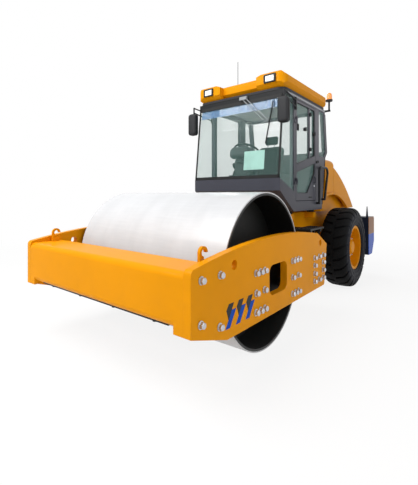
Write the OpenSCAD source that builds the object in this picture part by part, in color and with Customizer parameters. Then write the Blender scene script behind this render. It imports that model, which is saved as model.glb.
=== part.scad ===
// Single-drum road roller with an articulated frame, a closed cab and two driven rear tyres.
// +X is forward, +Y is the machine's left side and +Z is up. The origin lies on the ground,
// under the middle of the machine's length. All sizes are in millimetres.

/* [Machine] */
// From the drum's axle back to the steering pin
hitch_back = 1600; // [1580:5:1650]
// From the steering pin back to the rear axle
axle_back = 1560; // [1540:5:1650]
// From the drum's axle to the front end of the side plates
front_reach = 1400; // [1380:5:1450]
// From the rear axle to the back of the counterweight
rear_reach = 1640; // [1600:5:1800]
// Width over the side plates
overall_w = 2430; // [2400:10:2500]

/* [Drum] */
// Diameter of the drum
drum_d = 1600; // [1500:10:1620]
// Gap between the drum's ends and the side plates
drum_side_gap = 80; // [70:5:100]
// Thickness of the drum's shell
drum_wall = 35; // [25:1:50]
// Thickness of the two discs inside the drum
drum_disc_t = 30; // [20:1:50]
// How far the discs lie inside the drum's ends
drum_disc_inset = 330; // [250:5:400]
// Diameter of the journals that the drum turns on
journal_d = 240; // [180:5:300]

/* [Front frame] */
// Thickness of a side plate
plate_t = 70; // [60:1:80]
// Height of the top of a side plate's arched edge
plate_top_z = 1174; // [1150:1:1200]
// Radius of the arched edge
plate_arc_r = 7500; // [6500:50:9000]
// Height of the lower edge
plate_bottom_z = 430; // [400:5:470]
// Radius of the upper front corner
plate_corner_r = 45; // [20:5:80]
// Length of the window in a side plate
window_w = 385; // [300:5:420]
// Height of the window
window_h = 290; // [240:5:320]
// Corner radius of the window
window_r = 75; // [40:5:100]
// Diameter of the lifting eyes
eye_d = 80; // [60:2:100]
// Length of the front beam's section
beam_l = 380; // [340:5:390]
// Height of the front beam
beam_h = 415; // [380:5:430]
// Edge radius of the front beam
beam_r = 55; // [30:5:90]
// Width of the deep ends of the front beam
flange_t = 95; // [60:5:120]
// Thickness of the tie-down hooks
hook_t = 26; // [20:1:40]
// Length of the rear beam's section
rear_beam_l = 350; // [300:5:360]
// Height of the rear beam
rear_beam_h = 350; // [300:5:380]
// Gap between a scraper blade and the drum
scraper_gap = 12; // [8:1:20]

/* [Hitch] */
// Height of the hitch's centre
hitch_z = 680; // [670:5:690]
// Diameter of the steering pin
pin_d = 90; // [70:2:110]
// Diameter of the swing shaft that enters the rear beam
swing_d = 220; // [180:5:240]
// Sideways distance of the steering rods' eyes from the pin
steer_arm = 300; // [290:5:310]
// Outer diameter of a steering cylinder
cylinder_d = 96; // [80:2:100]
// Diameter of a steering rod
rod_d = 52; // [40:2:60]

/* [Wheels] */
// Diameter of a tyre over its lugs
tyre_d = 1350; // [1300:5:1360]
// Width of a tyre
tyre_w = 445; // [400:5:450]
// Distance between the middles of the rear tyres
track_w = 1830; // [1820:5:1880]
// Diameter of the rim's flange
rim_d = 740; // [700:5:780]
// Height of the tread lugs
lug_h = 30; // [20:1:36]
// Lugs on each half of the tread
lug_count = 24; // [18:1:26]
// Width of the grooves between the lugs
groove_w = 38; // [24:1:50]
// Diameter of the axle tube
axle_d = 230; // [200:5:240]

/* [Rear frame] */
// Half-width over the frame's side plates
frame_half_w = 480; // [460:5:500]
// Thickness of the frame's plates
frame_t = 40; // [30:1:50]
// Height of the frame's top
frame_top_z = 1290; // [1270:5:1300]
// Width of the counterweight
weight_w = 2100; // [2000:10:2200]
// Length of the counterweight
weight_l = 445; // [400:5:460]
// Height of the counterweight's top
weight_top_z = 1130; // [1100:5:1180]
// Height of the counterweight's underside
weight_bottom_z = 380; // [350:5:450]

/* [Cab] */
// Half-width of the cab
cab_half_w = 720; // [700:5:740]
// From the steering pin to the foot of the windscreen
cab_front = 550; // [520:5:560]
// From the steering pin back to the foot of the rear wall
cab_back = 1040; // [1020:5:1050]
// Height of the cab's underside
cab_bottom_z = 1335; // [1320:5:1345]
// Height of the windscreen's foot
sill_z = 1800; // [1770:5:1830]
// Height of the top of the glass
glass_top_z = 2950; // [2900:5:2980]
// How far the windscreen leans back at its top
screen_lean = 130; // [80:5:160]
// Thickness of the cab's walls and of the door
cab_wall = 45; // [35:1:55]
// Width of the cab's posts
post_w = 65; // [50:1:80]
// Thickness of the glass
glass_t = 10; // [6:1:14]
// Height of the roof
roof_h = 215; // [190:5:230]
// How far the roof stands out past the cab's sides
roof_over = 25; // [10:5:40]

/* [Hood] */
// Half-width of the hood at its foot
hood_half_w = 720; // [700:5:740]
// Thickness of the hood's shell
hood_wall = 28; // [20:1:40]
// Radius of the hood's arched top
hood_arc_r = 3750; // [3400:50:4200]
// Height of the hood's top at its front
hood_top_z = 2060; // [2030:5:2090]
// Height of the cowl behind the cab
cowl_top_z = 2200; // [2160:5:2230]
// Radius of the arch over the rear wheel
arch_r = 1586; // [1500:10:1700]
// Width of the arch's lip
lip_w = 42; // [25:1:60]
// How far the lip stands out
lip_t = 22; // [10:1:30]

/* [Hidden] */
$fn = 96;
// Running gap round shafts and pins
run_gap = 0.4;
// Gap between moving panels
panel_gap = 8;
// Gap round panes in their frames
seat_gap = 0.2;
// Overlap of pieces that are welded into one
weld = 2;
// Past-the-face length of a cut
cut = 5;

machine_l = front_reach + hitch_back + axle_back + rear_reach;
drum_x = machine_l / 2 - front_reach;
hitch_x = drum_x - hitch_back;
axle_x = hitch_x - axle_back;
rear_x = -machine_l / 2;
drum_r = drum_d / 2;
tyre_r = tyre_d / 2;
plate_outer = overall_w / 2;
plate_inner = plate_outer - plate_t;
drum_half_w = plate_inner - drum_side_gap;
drum_w = 2 * drum_half_w;

// Colours of the finishes
yellow = [0.93, 0.58, 0.07];
cab_grey = [0.30, 0.31, 0.35];
dark = [0.08, 0.08, 0.09];
steel = [0.62, 0.63, 0.65];
drum_white = [0.90, 0.91, 0.92];
glass_tint = [0.62, 0.78, 0.76, 0.35];
amber = [1.0, 0.65, 0.05];
lamp_white = [0.95, 0.95, 0.95];

// Shapes that repeat

// Extrudes a profile of X and Z along Y, from y0 to y0 + t.
module along_y(y0, t) {
    translate([0, y0 + t, 0]) rotate([90, 0, 0]) linear_extrude(t) children();
}

// Extrudes a profile of Y and Z along X, from x0 to x0 + t.
module along_x(x0, t) {
    translate([x0, 0, 0]) rotate([90, 0, 90]) linear_extrude(t) children();
}

// A round bar along Y, from y0 to y0 + l, with its centre at x and z.
module bar_y(x, z, y0, l, d) {
    translate([x, y0 + l, z]) rotate([90, 0, 0]) cylinder(h = l, d = d);
}

// A round bar along X, from x0 to x0 + l.
module bar_x(x0, y, z, l, d) {
    translate([x0, y, z]) rotate([0, 90, 0]) cylinder(h = l, d = d);
}

// A box given by its lowest and highest corners.
module block(low, high) {
    translate(low) cube(high - low);
}

// A rectangle with round corners, centred.
module round_rect(w, h, r) {
    square([w - 2 * r, h], center = true);
    square([w, h - 2 * r], center = true);
    for (sx = [-1, 1], sy = [-1, 1])
        translate([sx * (w / 2 - r), sy * (h / 2 - r)]) circle(r = r);
}

// The same piece on both sides of the machine.
module both_sides() {
    children();
    mirror([0, 1, 0]) children();
}

// A round bar between two points.
module rod(a, b, d) {
    v = b - a;
    l = norm(v);
    translate(a) rotate([0, acos(v[2] / l), atan2(v[1], v[0])]) cylinder(h = l, d = d);
}

// Front frame

// Where the arched edge's centre lies, and the centre of the upper front corner
plate_arc_z = plate_top_z - plate_arc_r;
plate_corner_z = plate_arc_z
    + sqrt(pow(plate_arc_r - plate_corner_r, 2) - pow(front_reach - plate_corner_r, 2));
plate_nose_z = plate_bottom_z + 138;
plate_back = 1364;
plate_tail_z = 940;
window_x = 43;
window_z = 756;
eye_front = [848, 1005];
eye_rear = [-1129, 979];

module plate_outline() {
    difference() {
        intersection() {
            polygon([[front_reach, plate_nose_z], [front_reach, plate_top_z],
                     [-1030, plate_top_z], [-1030, 1106], [-plate_back, plate_tail_z],
                     [-1275, plate_bottom_z + 15], [-1255, plate_bottom_z], [950, plate_bottom_z]]);
            translate([0, plate_arc_z]) circle(r = plate_arc_r, $fn = 720);
        }
        translate([front_reach - plate_corner_r, plate_corner_z]) square(2 * plate_corner_r);
    }
    translate([front_reach - plate_corner_r, plate_corner_z]) circle(r = plate_corner_r);
}

module side_plate() {
    color(yellow) translate([drum_x, 0, 0]) difference() {
        along_y(plate_inner, plate_t) plate_outline();
        translate([window_x, plate_outer + cut, window_z]) rotate([90, 0, 0])
            linear_extrude(plate_t + 2 * cut) round_rect(window_w, window_h, window_r);
        for (eye = [eye_front, eye_rear])
            bar_y(eye[0], eye[1], plate_inner - cut, plate_t + 2 * cut, eye_d);
    }
}

module side_plate_left() { side_plate(); }
module side_plate_right() { mirror([0, 1, 0]) side_plate(); }

beam_top_z = 1024;
beam_bottom_z = beam_top_z - beam_h;
beam_back = front_reach - beam_l;
hook_x = 1115;
hook_r = 50;
hook_eye_r = 28;
hook_rise = 100;
hook_in = 60;

// Section of the front beam, with round front edges.
module beam_section() {
    translate([beam_back, beam_bottom_z]) square([beam_l - beam_r, beam_h]);
    translate([beam_back, beam_bottom_z + beam_r]) square([beam_l, beam_h - 2 * beam_r]);
    for (z = [beam_bottom_z + beam_r, beam_top_z - beam_r])
        translate([front_reach - beam_r, z]) circle(r = beam_r);
}

// An open hook that curls back from its stem.
module hook_outline() {
    difference() {
        circle(r = hook_r);
        circle(r = hook_eye_r);
        translate([-hook_r * 2, -hook_r * 2]) square([hook_r * 2, hook_r * 2]);
    }
    translate([hook_eye_r, -hook_rise - weld]) square([hook_r - hook_eye_r, hook_rise + weld]);
    translate([-hook_eye_r, -hook_rise - weld]) square([hook_r + hook_eye_r, hook_rise - hook_r]);
}

module front_beam() {
    color(yellow) translate([drum_x, 0, 0]) {
        along_y(-plate_inner, 2 * plate_inner) beam_section();
        both_sides() {
            along_y(plate_inner - flange_t, flange_t) translate([beam_back, plate_nose_z])
                square([beam_l, beam_bottom_z + beam_r - plate_nose_z]);
            translate([hook_x, 0, beam_top_z + hook_rise])
                along_y(plate_inner - hook_in, hook_t) hook_outline();
        }
    }
}

rear_beam_front = -890;
rear_beam_back = rear_beam_front - rear_beam_l;
rear_beam_bottom_z = hitch_z - rear_beam_h / 2;
bearing_d = swing_d + 150;
bearing_l = 80;
swing_bore_l = 300;

module rear_beam() {
    color(yellow) translate([drum_x, 0, 0]) difference() {
        union() {
            along_y(-plate_inner, 2 * plate_inner)
                translate([rear_beam_back, rear_beam_bottom_z]) square([rear_beam_l, rear_beam_h]);
            bar_x(rear_beam_back - bearing_l, 0, hitch_z, bearing_l + weld, bearing_d);
        }
        bar_x(rear_beam_back - bearing_l - cut, 0, hitch_z, swing_bore_l + cut, swing_d + 2 * run_gap);
    }
}

blade_l = drum_w - 60;
blade_t = 14;
blade_h = 130;
bracket_w = 60;
bracket_y = [blade_l / 8, blade_l * 3 / 8];

// A scraper blade that points at the drum from the beam, with its four brackets.
module scraper(reach, foot, z) {
    low = z - blade_h / 2;
    back = reach + sign(foot - reach) * blade_t;
    both_sides() for (y = bracket_y)
        block([min(reach, foot), y - bracket_w / 2, low],
              [max(reach, foot), y + bracket_w / 2, low + bracket_w]);
    block([min(reach, back), -blade_l / 2, low], [max(reach, back), blade_l / 2, low + blade_h]);
}

// Reach of the drum's surface at a height, measured from its axle
function drum_reach(z) = sqrt(pow(drum_r, 2) - pow(z - drum_r, 2));

scraper_front_z = 700;
scraper_rear_z = 640;
// Bar under the front beam that holds the front scraper's bolts
holder = [70, 1900, 20];
holder_bolt = [44, 14];

module scrapers() {
    color(dark) translate([drum_x, 0, 0]) {
        scraper(drum_reach(scraper_front_z + blade_h / 2) + scraper_gap, beam_back, scraper_front_z);
        scraper(-drum_reach(scraper_rear_z + blade_h / 2) - scraper_gap, rear_beam_front, scraper_rear_z);
        translate([front_reach - beam_r - holder[0] / 2, 0, beam_bottom_z - holder[2]]) {
            translate([-holder[0] / 2, -holder[1] / 2, 0]) cube(holder);
            both_sides() for (y = bracket_y) translate([0, y, -holder_bolt[1]])
                cylinder(h = holder_bolt[1] + weld, d = holder_bolt[0]);
        }
    }
}

// Drum and what carries it

disc_outer = drum_half_w - drum_disc_inset;
journal_in = disc_outer - drum_disc_t - 60;
carrier_t = 32;
carrier_out = drum_half_w - 45;
carrier_in = carrier_out - carrier_t;
damper_x = 400;
damper_step = [85, 175];
damper_z = 705;
damper_d = 96;
pad_t = 30;

module drum() {
    color(drum_white) translate([drum_x, 0, drum_r]) rotate([90, 0, 0]) {
        difference() {
            union() {
                difference() {
                    cylinder(h = drum_w, d = drum_d, center = true, $fn = 180);
                    cylinder(h = drum_w + 2 * cut, d = drum_d - 2 * drum_wall, center = true, $fn = 180);
                }
                for (s = [-1, 1])
                    translate([0, 0, s * (disc_outer - drum_disc_t / 2)])
                        cylinder(h = drum_disc_t, d = drum_d - 2 * drum_wall + 2 * weld, center = true);
                for (s = [-1, 1])
                    translate([0, 0, s * (disc_outer - drum_disc_t / 2 - 15)])
                        cylinder(h = 130, d = journal_d + 120, center = true);
            }
            cylinder(h = drum_w, d = journal_d + 2 * run_gap, center = true);
        }
    }
}

// Plate beside each drum end, with the journal that the drum turns on.
module carrier() {
    translate([drum_x, 0, 0]) {
        translate([0, carrier_out, damper_z + 30]) rotate([90, 0, 0])
            linear_extrude(carrier_t) round_rect(2 * damper_x + 260, 470, 90);
        bar_y(0, drum_r, journal_in, carrier_in - journal_in + weld, journal_d);
        bar_y(0, drum_r, carrier_in - 60, 60 + weld, journal_d + 150);
    }
}

module drum_carriers() {
    color(dark) both_sides() carrier();
}

// Rubber buffers between a carrier and its pads on the side plate.
module drum_dampers() {
    color(dark) translate([drum_x, 0, 0]) both_sides() for (s = [-1, 1]) {
        along_y(plate_inner - pad_t, pad_t) translate([window_x + s * damper_x - 20, damper_z])
            square([220, 420], center = true);
        for (z = [-1, 1])
            bar_y(window_x + s * damper_x - 20, damper_z + z * damper_step[1] * 0.6, carrier_out,
                  plate_inner - pad_t - carrier_out + weld, damper_d);
    }
}

// Hitch

barrel_d = 230;
lug_in = 165;
lug_t = 50;
lug_half_w = 140;
collar_d = swing_d + 110;
swing_tip = hitch_back + rear_beam_back - bearing_l + swing_bore_l - 20;
collar_end = hitch_back + rear_beam_back - bearing_l - panel_gap;
arm_t = 40;

module hitch() {
    color(yellow) translate([hitch_x, 0, hitch_z]) difference() {
        union() {
            translate([0, 0, -lug_in + panel_gap]) cylinder(h = 2 * (lug_in - panel_gap), d = barrel_d);
            bar_x(0, 0, 0, swing_tip, swing_d);
            bar_x(collar_end - 60, 0, 0, 60, collar_d);
            translate([-50, -steer_arm, -arm_t / 2]) cube([100, 2 * steer_arm, arm_t]);
            both_sides() translate([0, steer_arm, -arm_t / 2]) cylinder(h = arm_t, d = 100);
        }
        cylinder(h = 4 * lug_in, d = pin_d + 2 * run_gap, center = true);
    }
}

// Steering cylinders

steer_limit = 33;
// The rod's line lies midway between the eye's places straight ahead and at full lock
rod_y = steer_arm * (1 + cos(steer_limit)) / 2;
rod_stroke = steer_arm * sin(steer_limit);
eye_od = 100;
rod_eye_t = 50;
rod_z = hitch_z + arm_t / 2 + 1 + rod_eye_t / 2;
barrel_front = -rod_stroke - eye_od / 2 - 22;
barrel_back = barrel_front - 2 * rod_stroke - 150;
rod_tip = barrel_front - rod_stroke - 60;
trunnion_x = barrel_back - 40;

module steering_barrel() {
    color(dark) translate([hitch_x, rod_y, rod_z]) difference() {
        union() {
            bar_x(barrel_back, 0, 0, barrel_front - barrel_back, cylinder_d);
            bar_x(barrel_front - 50, 0, 0, 50, cylinder_d + 16);
            translate([trunnion_x, 0, -rod_eye_t / 2]) cylinder(h = rod_eye_t, d = eye_od);
            bar_x(trunnion_x, 0, 0, barrel_back - trunnion_x + weld, rod_eye_t);
        }
        bar_x(barrel_front - 3 * rod_stroke, 0, 0, 3 * rod_stroke + cut, rod_d + 2 * run_gap);
        translate([trunnion_x, 0, -rod_eye_t]) cylinder(h = 2 * rod_eye_t, d = 50 + 2 * seat_gap);
    }
}

module steering_rod() {
    color(steel) translate([hitch_x, rod_y, rod_z]) {
        bar_x(rod_tip, 0, 0, -rod_tip, rod_d);
        translate([0, steer_arm - rod_y, 0]) {
            translate([0, 0, -rod_eye_t / 2]) cylinder(h = rod_eye_t, d = eye_od);
            translate([0, 0, rod_eye_t / 2 - weld]) cylinder(h = 14, d = 60);
        }
    }
}

module steering_barrels() { both_sides() steering_barrel(); }
module steering_rod_left() { steering_rod(); }
module steering_rod_right() { mirror([0, 1, 0]) steering_rod(); }

// Rear frame

axle_rel = -axle_back;
weight_front = rear_x + weight_l;
frame_back = weight_front - hitch_x;
frame_front = 30;
frame_bottom_z = 600;
nose_back = trunnion_x - 120;
axle_half_l = track_w / 2 - 60;
axle_seat_z = tyre_r + axle_d / 2 + 15;
notch_half = 240;
deck_t = 20;
well_x0 = -cab_back - 170;
wall_y = hood_half_w - hood_wall - 60;
wall_t = 20;
wall_top_z = 1600;

module frame_outline() {
    polygon([[frame_front, frame_bottom_z - 40], [frame_front, 860], [-40, frame_top_z],
             [frame_back, frame_top_z], [frame_back, frame_bottom_z],
             [axle_rel - notch_half - 60, frame_bottom_z], [axle_rel - notch_half, axle_seat_z],
             [axle_rel + notch_half, axle_seat_z], [axle_rel + notch_half + 60, frame_bottom_z],
             [-700, frame_bottom_z - 120]]);
}

// Upper and lower lugs that hold the steering pin, with the web behind them.
module hitch_nose() {
    for (z = [hitch_z + lug_in, hitch_z - lug_in - lug_t]) translate([0, 0, z]) {
        cylinder(h = lug_t, r = lug_half_w);
        translate([nose_back, -lug_half_w, 0]) cube([-nose_back, 2 * lug_half_w, lug_t]);
    }
    block([nose_back, -lug_half_w, hitch_z - lug_in - weld],
          [-lug_in - 170, lug_half_w, hitch_z + lug_in + weld]);
    translate([0, 0, hitch_z - lug_in - lug_t - 12]) cylinder(h = 2 * (lug_in + lug_t + 12), d = pin_d);
}

mount_x = [-70, -960];
mount_y = 560;
mount_h = cab_bottom_z - frame_top_z;

module rear_frame() {
    color(yellow) translate([hitch_x, 0, 0]) {
        both_sides() along_y(frame_half_w - frame_t, frame_t) frame_outline();
        for (x = [nose_back - frame_t, axle_rel - notch_half - 260, frame_back])
            block([x, -frame_half_w + frame_t - weld, frame_bottom_z],
                  [x + frame_t, frame_half_w - frame_t + weld, frame_top_z]);
        hitch_nose();
        // Brackets for the steering cylinders' rear pins
        both_sides() {
            for (z = [rod_z + rod_eye_t / 2 + seat_gap, rod_z - rod_eye_t / 2 - seat_gap - 25])
                block([nose_back - weld, rod_y - 60, z], [barrel_back - 6, rod_y + 60, z + 25]);
            translate([trunnion_x, rod_y, rod_z - rod_eye_t / 2 - 30]) cylinder(h = rod_eye_t + 60, d = 50);
        }
        // Outriggers under the cab's mounts
        both_sides() for (x = mount_x)
            block([x - 60, frame_half_w - weld, frame_top_z - 90], [x + 60, mount_y + 70, frame_top_z]);
        // Deck and inner walls of the engine bay
        block([frame_back, -wall_y, frame_top_z - weld], [well_x0, wall_y, frame_top_z + deck_t]);
        both_sides() along_y(wall_y - wall_t, wall_t) polygon([
            [frame_back, frame_top_z], [well_x0 - hood_wall - seat_gap, frame_top_z],
            [well_x0 - hood_wall - seat_gap, wall_top_z],
            [axle_rel - 700, wall_top_z], [frame_back, frame_top_z + 60]]);
    }
}

module rear_axle() {
    color(dark) translate([axle_x, 0, tyre_r]) {
        bar_y(0, 0, -axle_half_l, 2 * axle_half_l, axle_d);
        sphere(d = axle_d + 190);
        bar_x(0, 0, 0, 290, 170);
        both_sides() {
            bar_y(0, 0, axle_half_l - 190, 90, axle_d + 90);
            block([-110, frame_half_w - frame_t - 20, 0], [110, frame_half_w + 20, axle_seat_z - tyre_r]);
        }
    }
}

// Length, width and height of the engine, and its place behind the cowl's front wall
engine_size = [720, 660, 390];
engine_gap = 230;

module engine() {
    color(dark) translate([hitch_x, 0, 0])
        block([well_x0 - engine_gap - engine_size[0], -engine_size[1] / 2, frame_top_z + deck_t],
              [well_x0 - engine_gap, engine_size[1] / 2, frame_top_z + deck_t + engine_size[2]]);
}

// Rear wheels

rim_w = 370;
hub_d = 330;
hub_back = 80;
hub_l = 190;
hand_holes = 8;
bead_d = rim_d - 40;
axle_tip = axle_half_l - track_w / 2;

module rim() {
    color(yellow) translate([axle_x, track_w / 2, tyre_r]) rotate([-90, 0, 0]) difference() {
        union() {
            rotate_extrude() polygon([[bead_d / 2 - 22, -rim_w / 2], [rim_d / 2, -rim_w / 2],
                [rim_d / 2, -rim_w / 2 + 24], [bead_d / 2, -rim_w / 2 + 34],
                [bead_d / 2, rim_w / 2 - 34], [rim_d / 2, rim_w / 2 - 24],
                [rim_d / 2, rim_w / 2], [bead_d / 2 - 22, rim_w / 2]]);
            translate([0, 0, -20]) difference() {
                cylinder(h = 26, d = bead_d - 40);
                for (i = [0 : hand_holes - 1]) rotate([0, 0, (i + 0.5) * 360 / hand_holes])
                    translate([(hub_d + bead_d) / 4, 0, -cut]) cylinder(h = 26 + 2 * cut, d = 84);
            }
            translate([0, 0, -hub_back]) cylinder(h = hub_l, d = hub_d);
            translate([0, 0, 100]) cylinder(h = 50, d1 = hub_d - 60, d2 = hub_d - 130);
        }
        translate([0, 0, -hub_back - cut])
            cylinder(h = hub_back + cut + axle_tip + 20, d = axle_d + 2 * run_gap);
    }
}

lug_pitch = 360 / lug_count;
groove_turn = groove_w / tyre_r * 180 / PI;
// Places across a groove, as parts of its width, and which of them lie on its floor
groove_edges = [0, 0.12, 0.88, 1];
groove_floor = [0, 1, 1, 0];
edge_count = len(groove_edges);
tyre_columns = lug_count * edge_count;
rib_half = 16;
bead_r = (rim_d / 2 + seat_gap) / cos((lug_pitch - groove_turn) / 2);
// Half of the tyre's section, from the middle rib out to the bead. A row has its distance from
// the middle, its radius, the depth of the grooves and how far round they have swept.
tyre_rows = [[rib_half, tyre_r, 0, 0], [rib_half + 6, tyre_r, lug_h, 0],
             [tyre_w * 0.29, tyre_r - 4, lug_h, 3], [tyre_w * 0.4, tyre_r - 26, lug_h, 6],
             [tyre_w * 0.475, tyre_r - 88, lug_h * 0.7, 9], [tyre_w / 2, tyre_r - 150, 0, 9],
             [rim_w / 2 + 12, bead_r, 0, 9]];
bead_row = len(tyre_rows) - 1;
// All the rows round the section, each with the side that it lies on and how many pitches it lies
// behind. The lugs of the two halves lie half a pitch apart, and the beads face each other.
tyre_loop = [for (i = [bead_row : -1 : 0]) [tyre_rows[i], 1, 0],
             for (i = [0 : bead_row]) [tyre_rows[i], -1, i < bead_row ? 0.5 : 0]];

// A point on the tyre's skin.
function tyre_point(row, side, behind, column) =
    let (edge = column % edge_count,
         lug = (column - edge) / edge_count - behind,
         turn = lug * lug_pitch + groove_edges[edge] * groove_turn + row[3],
         r = row[1] - groove_floor[edge] * row[2])
    [r * cos(turn), side * row[0], r * sin(turn)];

function tyre_index(row, column) =
    (row % len(tyre_loop)) * tyre_columns + column % tyre_columns;

// A tyre whose skin is drawn row by row, so that its grooves can sweep over the shoulder.
module tyre() {
    skin = [for (row = tyre_loop, column = [0 : tyre_columns - 1])
        tyre_point(row[0], row[1], row[2], column)];
    faces = [for (row = [0 : len(tyre_loop) - 1], column = [0 : tyre_columns - 1])
        let (a = tyre_index(row, column), b = tyre_index(row, column + 1),
             c = tyre_index(row + 1, column + 1), d = tyre_index(row + 1, column))
        each [[a, d, c], [a, c, b]]];
    color(dark) translate([axle_x, track_w / 2, tyre_r]) polyhedron(points = skin, faces = faces);
}

module rim_left() { rim(); }
module rim_right() { mirror([0, 1, 0]) rim(); }
module tyre_left() { tyre(); }
module tyre_right() { mirror([0, 1, 0]) tyre(); }

// Counterweight and lamps

lamp_w = 150;
lamp_h = 90;
lamp_t = 30;
tail_y = weight_w / 2 - 260;
tail_z = 900;
tow_bore_d = 52;
tow_plate_t = 40;
tow_gap = 90;
tow_z = 560;
tow_in = 85;
hinge_pin_d = 40;
marker_h = 215;
marker_in = 40;
hood_back = rear_x + 140 - hitch_x;
hinge_x = hood_back + 60;
hinge_z = 1255;
hinge_y = 380;
hinge_t = 40;
hinge_d = 90;
knuckle_in = 5;

module counterweight() {
    color(cab_grey) difference() {
        union() {
            translate([rear_x, 0, 0]) along_y(-weight_w / 2, weight_w) polygon([
                [weight_l, weight_bottom_z], [weight_l, weight_top_z], [40, weight_top_z],
                [0, weight_top_z - 40], [0, weight_bottom_z + 250], [170, weight_bottom_z]]);
            // Brackets and pins of the hood's hinge
            translate([hitch_x, 0, 0]) both_sides() {
                along_y(hinge_y, hinge_t) {
                    translate([hinge_x - hinge_d / 2, weight_top_z - weld])
                        square([hinge_d, hinge_z - weight_top_z + weld]);
                    translate([hinge_x, hinge_z]) circle(d = hinge_d);
                }
                bar_y(hinge_x, hinge_z, hinge_y - 2 * hinge_t, 2 * hinge_t + weld, hinge_pin_d);
            }
            // Corner markers
            both_sides()
                translate([weight_front - marker_in, weight_w / 2 - marker_in, weight_top_z - weld])
                    cylinder(h = marker_h, d1 = 44, d2 = 14);
        }
        both_sides()
            block([rear_x - cut, tail_y - lamp_w / 2 - seat_gap, tail_z - lamp_h / 2 - seat_gap],
                  [rear_x + lamp_t, tail_y + lamp_w / 2 + seat_gap, tail_z + lamp_h / 2 + seat_gap]);
        // Recess of the tow pin with its bore
        block([rear_x - cut, -120, tow_z + 110], [rear_x + 150, 120, tow_z + 110 + tow_gap]);
        translate([rear_x + tow_in, 0, tow_z]) cylinder(h = weight_top_z, d = tow_bore_d);
    }
}

module tail_lamps() {
    color([0.75, 0.08, 0.05]) both_sides()
        block([rear_x + 4, tail_y - lamp_w / 2, tail_z - lamp_h / 2],
              [rear_x + lamp_t, tail_y + lamp_w / 2, tail_z + lamp_h / 2]);
}

// Hood and cowl

hood_front = well_x0 - 440;
hood_rear_z = 1345;
hood_foot_z = 1580;
hood_low_z = 1318;
hood_p1 = [hood_front, hood_top_z];
hood_p2 = [hood_back, hood_rear_z];
hood_chord = norm(hood_p2 - hood_p1);
hood_dir = (hood_p2 - hood_p1) / hood_chord;
hood_rise = sqrt(pow(hood_arc_r, 2) - pow(hood_chord / 2, 2));
hood_centre = (hood_p1 + hood_p2) / 2 + hood_rise * [-hood_dir[1], hood_dir[0]];
// Length and depth of the hood's taper at its rear corners
hood_taper = [120, 40];
shoulder_tilt = 38;
shoulder_y = hood_half_w - 120;
shoulder_z = 1700;

// The front is open, so the inner form runs out past it.
function hood_mouth(inset) = inset > 0 ? hood_front + cut : hood_front;

module hood_side(inset, foot) {
    intersection() {
        polygon([[hood_mouth(inset), foot], [hood_mouth(inset), hood_top_z],
                 [hood_back + inset, hood_top_z], [hood_back + inset, foot]]);
        translate(hood_centre) circle(r = hood_arc_r - inset, $fn = 720);
    }
}

// The hood's outer form, or the same form drawn in by a wall's thickness.
module hood_form(inset, foot) {
    w = hood_half_w - inset;
    intersection() {
        along_y(-w, 2 * w) hood_side(inset, foot);
        translate([0, 0, foot]) linear_extrude(hood_top_z) polygon([
            [hood_mouth(inset), -w], [hood_mouth(inset), w], [hood_back + hood_taper[0], w],
            [hood_back + inset, w - hood_taper[1]], [hood_back + inset, -w + hood_taper[1]],
            [hood_back + hood_taper[0], -w]]);
        translate([0, shoulder_y, shoulder_z]) rotate([-shoulder_tilt, 0, 0])
            translate([0, -shoulder_y, -shoulder_z]) along_y(-3000, 6000) hood_tilted(inset);
        translate([0, -shoulder_y, shoulder_z]) rotate([shoulder_tilt, 0, 0])
            translate([0, shoulder_y, -shoulder_z]) along_y(-3000, 6000) hood_tilted(inset);
    }
}

// The arched top on a tall outline, which tilts to round the shoulders.
module hood_tilted(inset) {
    intersection() {
        translate([hood_back - 100, -2000]) square([hood_front - hood_back + 200, 5000]);
        translate(hood_centre) circle(r = hood_arc_r - inset, $fn = 720);
    }
}

// The arch over the rear wheel, as a cut through both sides.
module arch_cut() {
    half = hood_half_w + lip_t + cut;
    bar_y(axle_rel, hood_foot_z - arch_r, -half, 2 * half, 2 * arch_r);
}

// The raised lip along the arch, between two places along the machine.
module arch_lip(x0, x1) {
    both_sides() along_y(hood_half_w - weld, lip_t + weld) intersection() {
        translate([x0, hood_low_z]) square([x1 - x0, hood_foot_z]);
        translate([axle_rel, hood_foot_z - arch_r]) difference() {
            circle(r = arch_r + lip_w, $fn = 720);
            circle(r = arch_r, $fn = 720);
        }
    }
}

// Opening in the sloping top over the radiator, and the louvres of the grille that fills it
grille_x = [hood_front - 1150, hood_front - 650];
grille_half_w = 380;
grille_sink = 8;
grille_rim = 36;
louvre_n = 7;
louvre_w = 34;
louvre_pitch = (grille_x[1] - grille_x[0] - 2 * grille_rim + louvre_w) / louvre_n;

module hood() {
    color(yellow) translate([hitch_x, 0, 0]) {
        difference() {
            hood_form(0, hood_low_z);
            hood_form(hood_wall, hood_low_z - 50);
            arch_cut();
            block([grille_x[0], -grille_half_w, hood_rear_z], [grille_x[1], grille_half_w, hood_top_z]);
        }
        arch_lip(hood_back, hood_front);
        // Knuckles of the hinge
        both_sides() difference() {
            along_y(hinge_y - hinge_t - panel_gap, hinge_t) {
                translate([hinge_x - hinge_d / 2 + knuckle_in, hinge_z])
                    square([hinge_d - 2 * knuckle_in, hood_rear_z - hinge_z + 25]);
                translate([hinge_x, hinge_z]) circle(d = hinge_d - 2 * knuckle_in);
            }
            bar_y(hinge_x, hinge_z, hinge_y - 3 * hinge_t, 4 * hinge_t, hinge_pin_d + 2 * run_gap);
        }
    }
}

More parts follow.
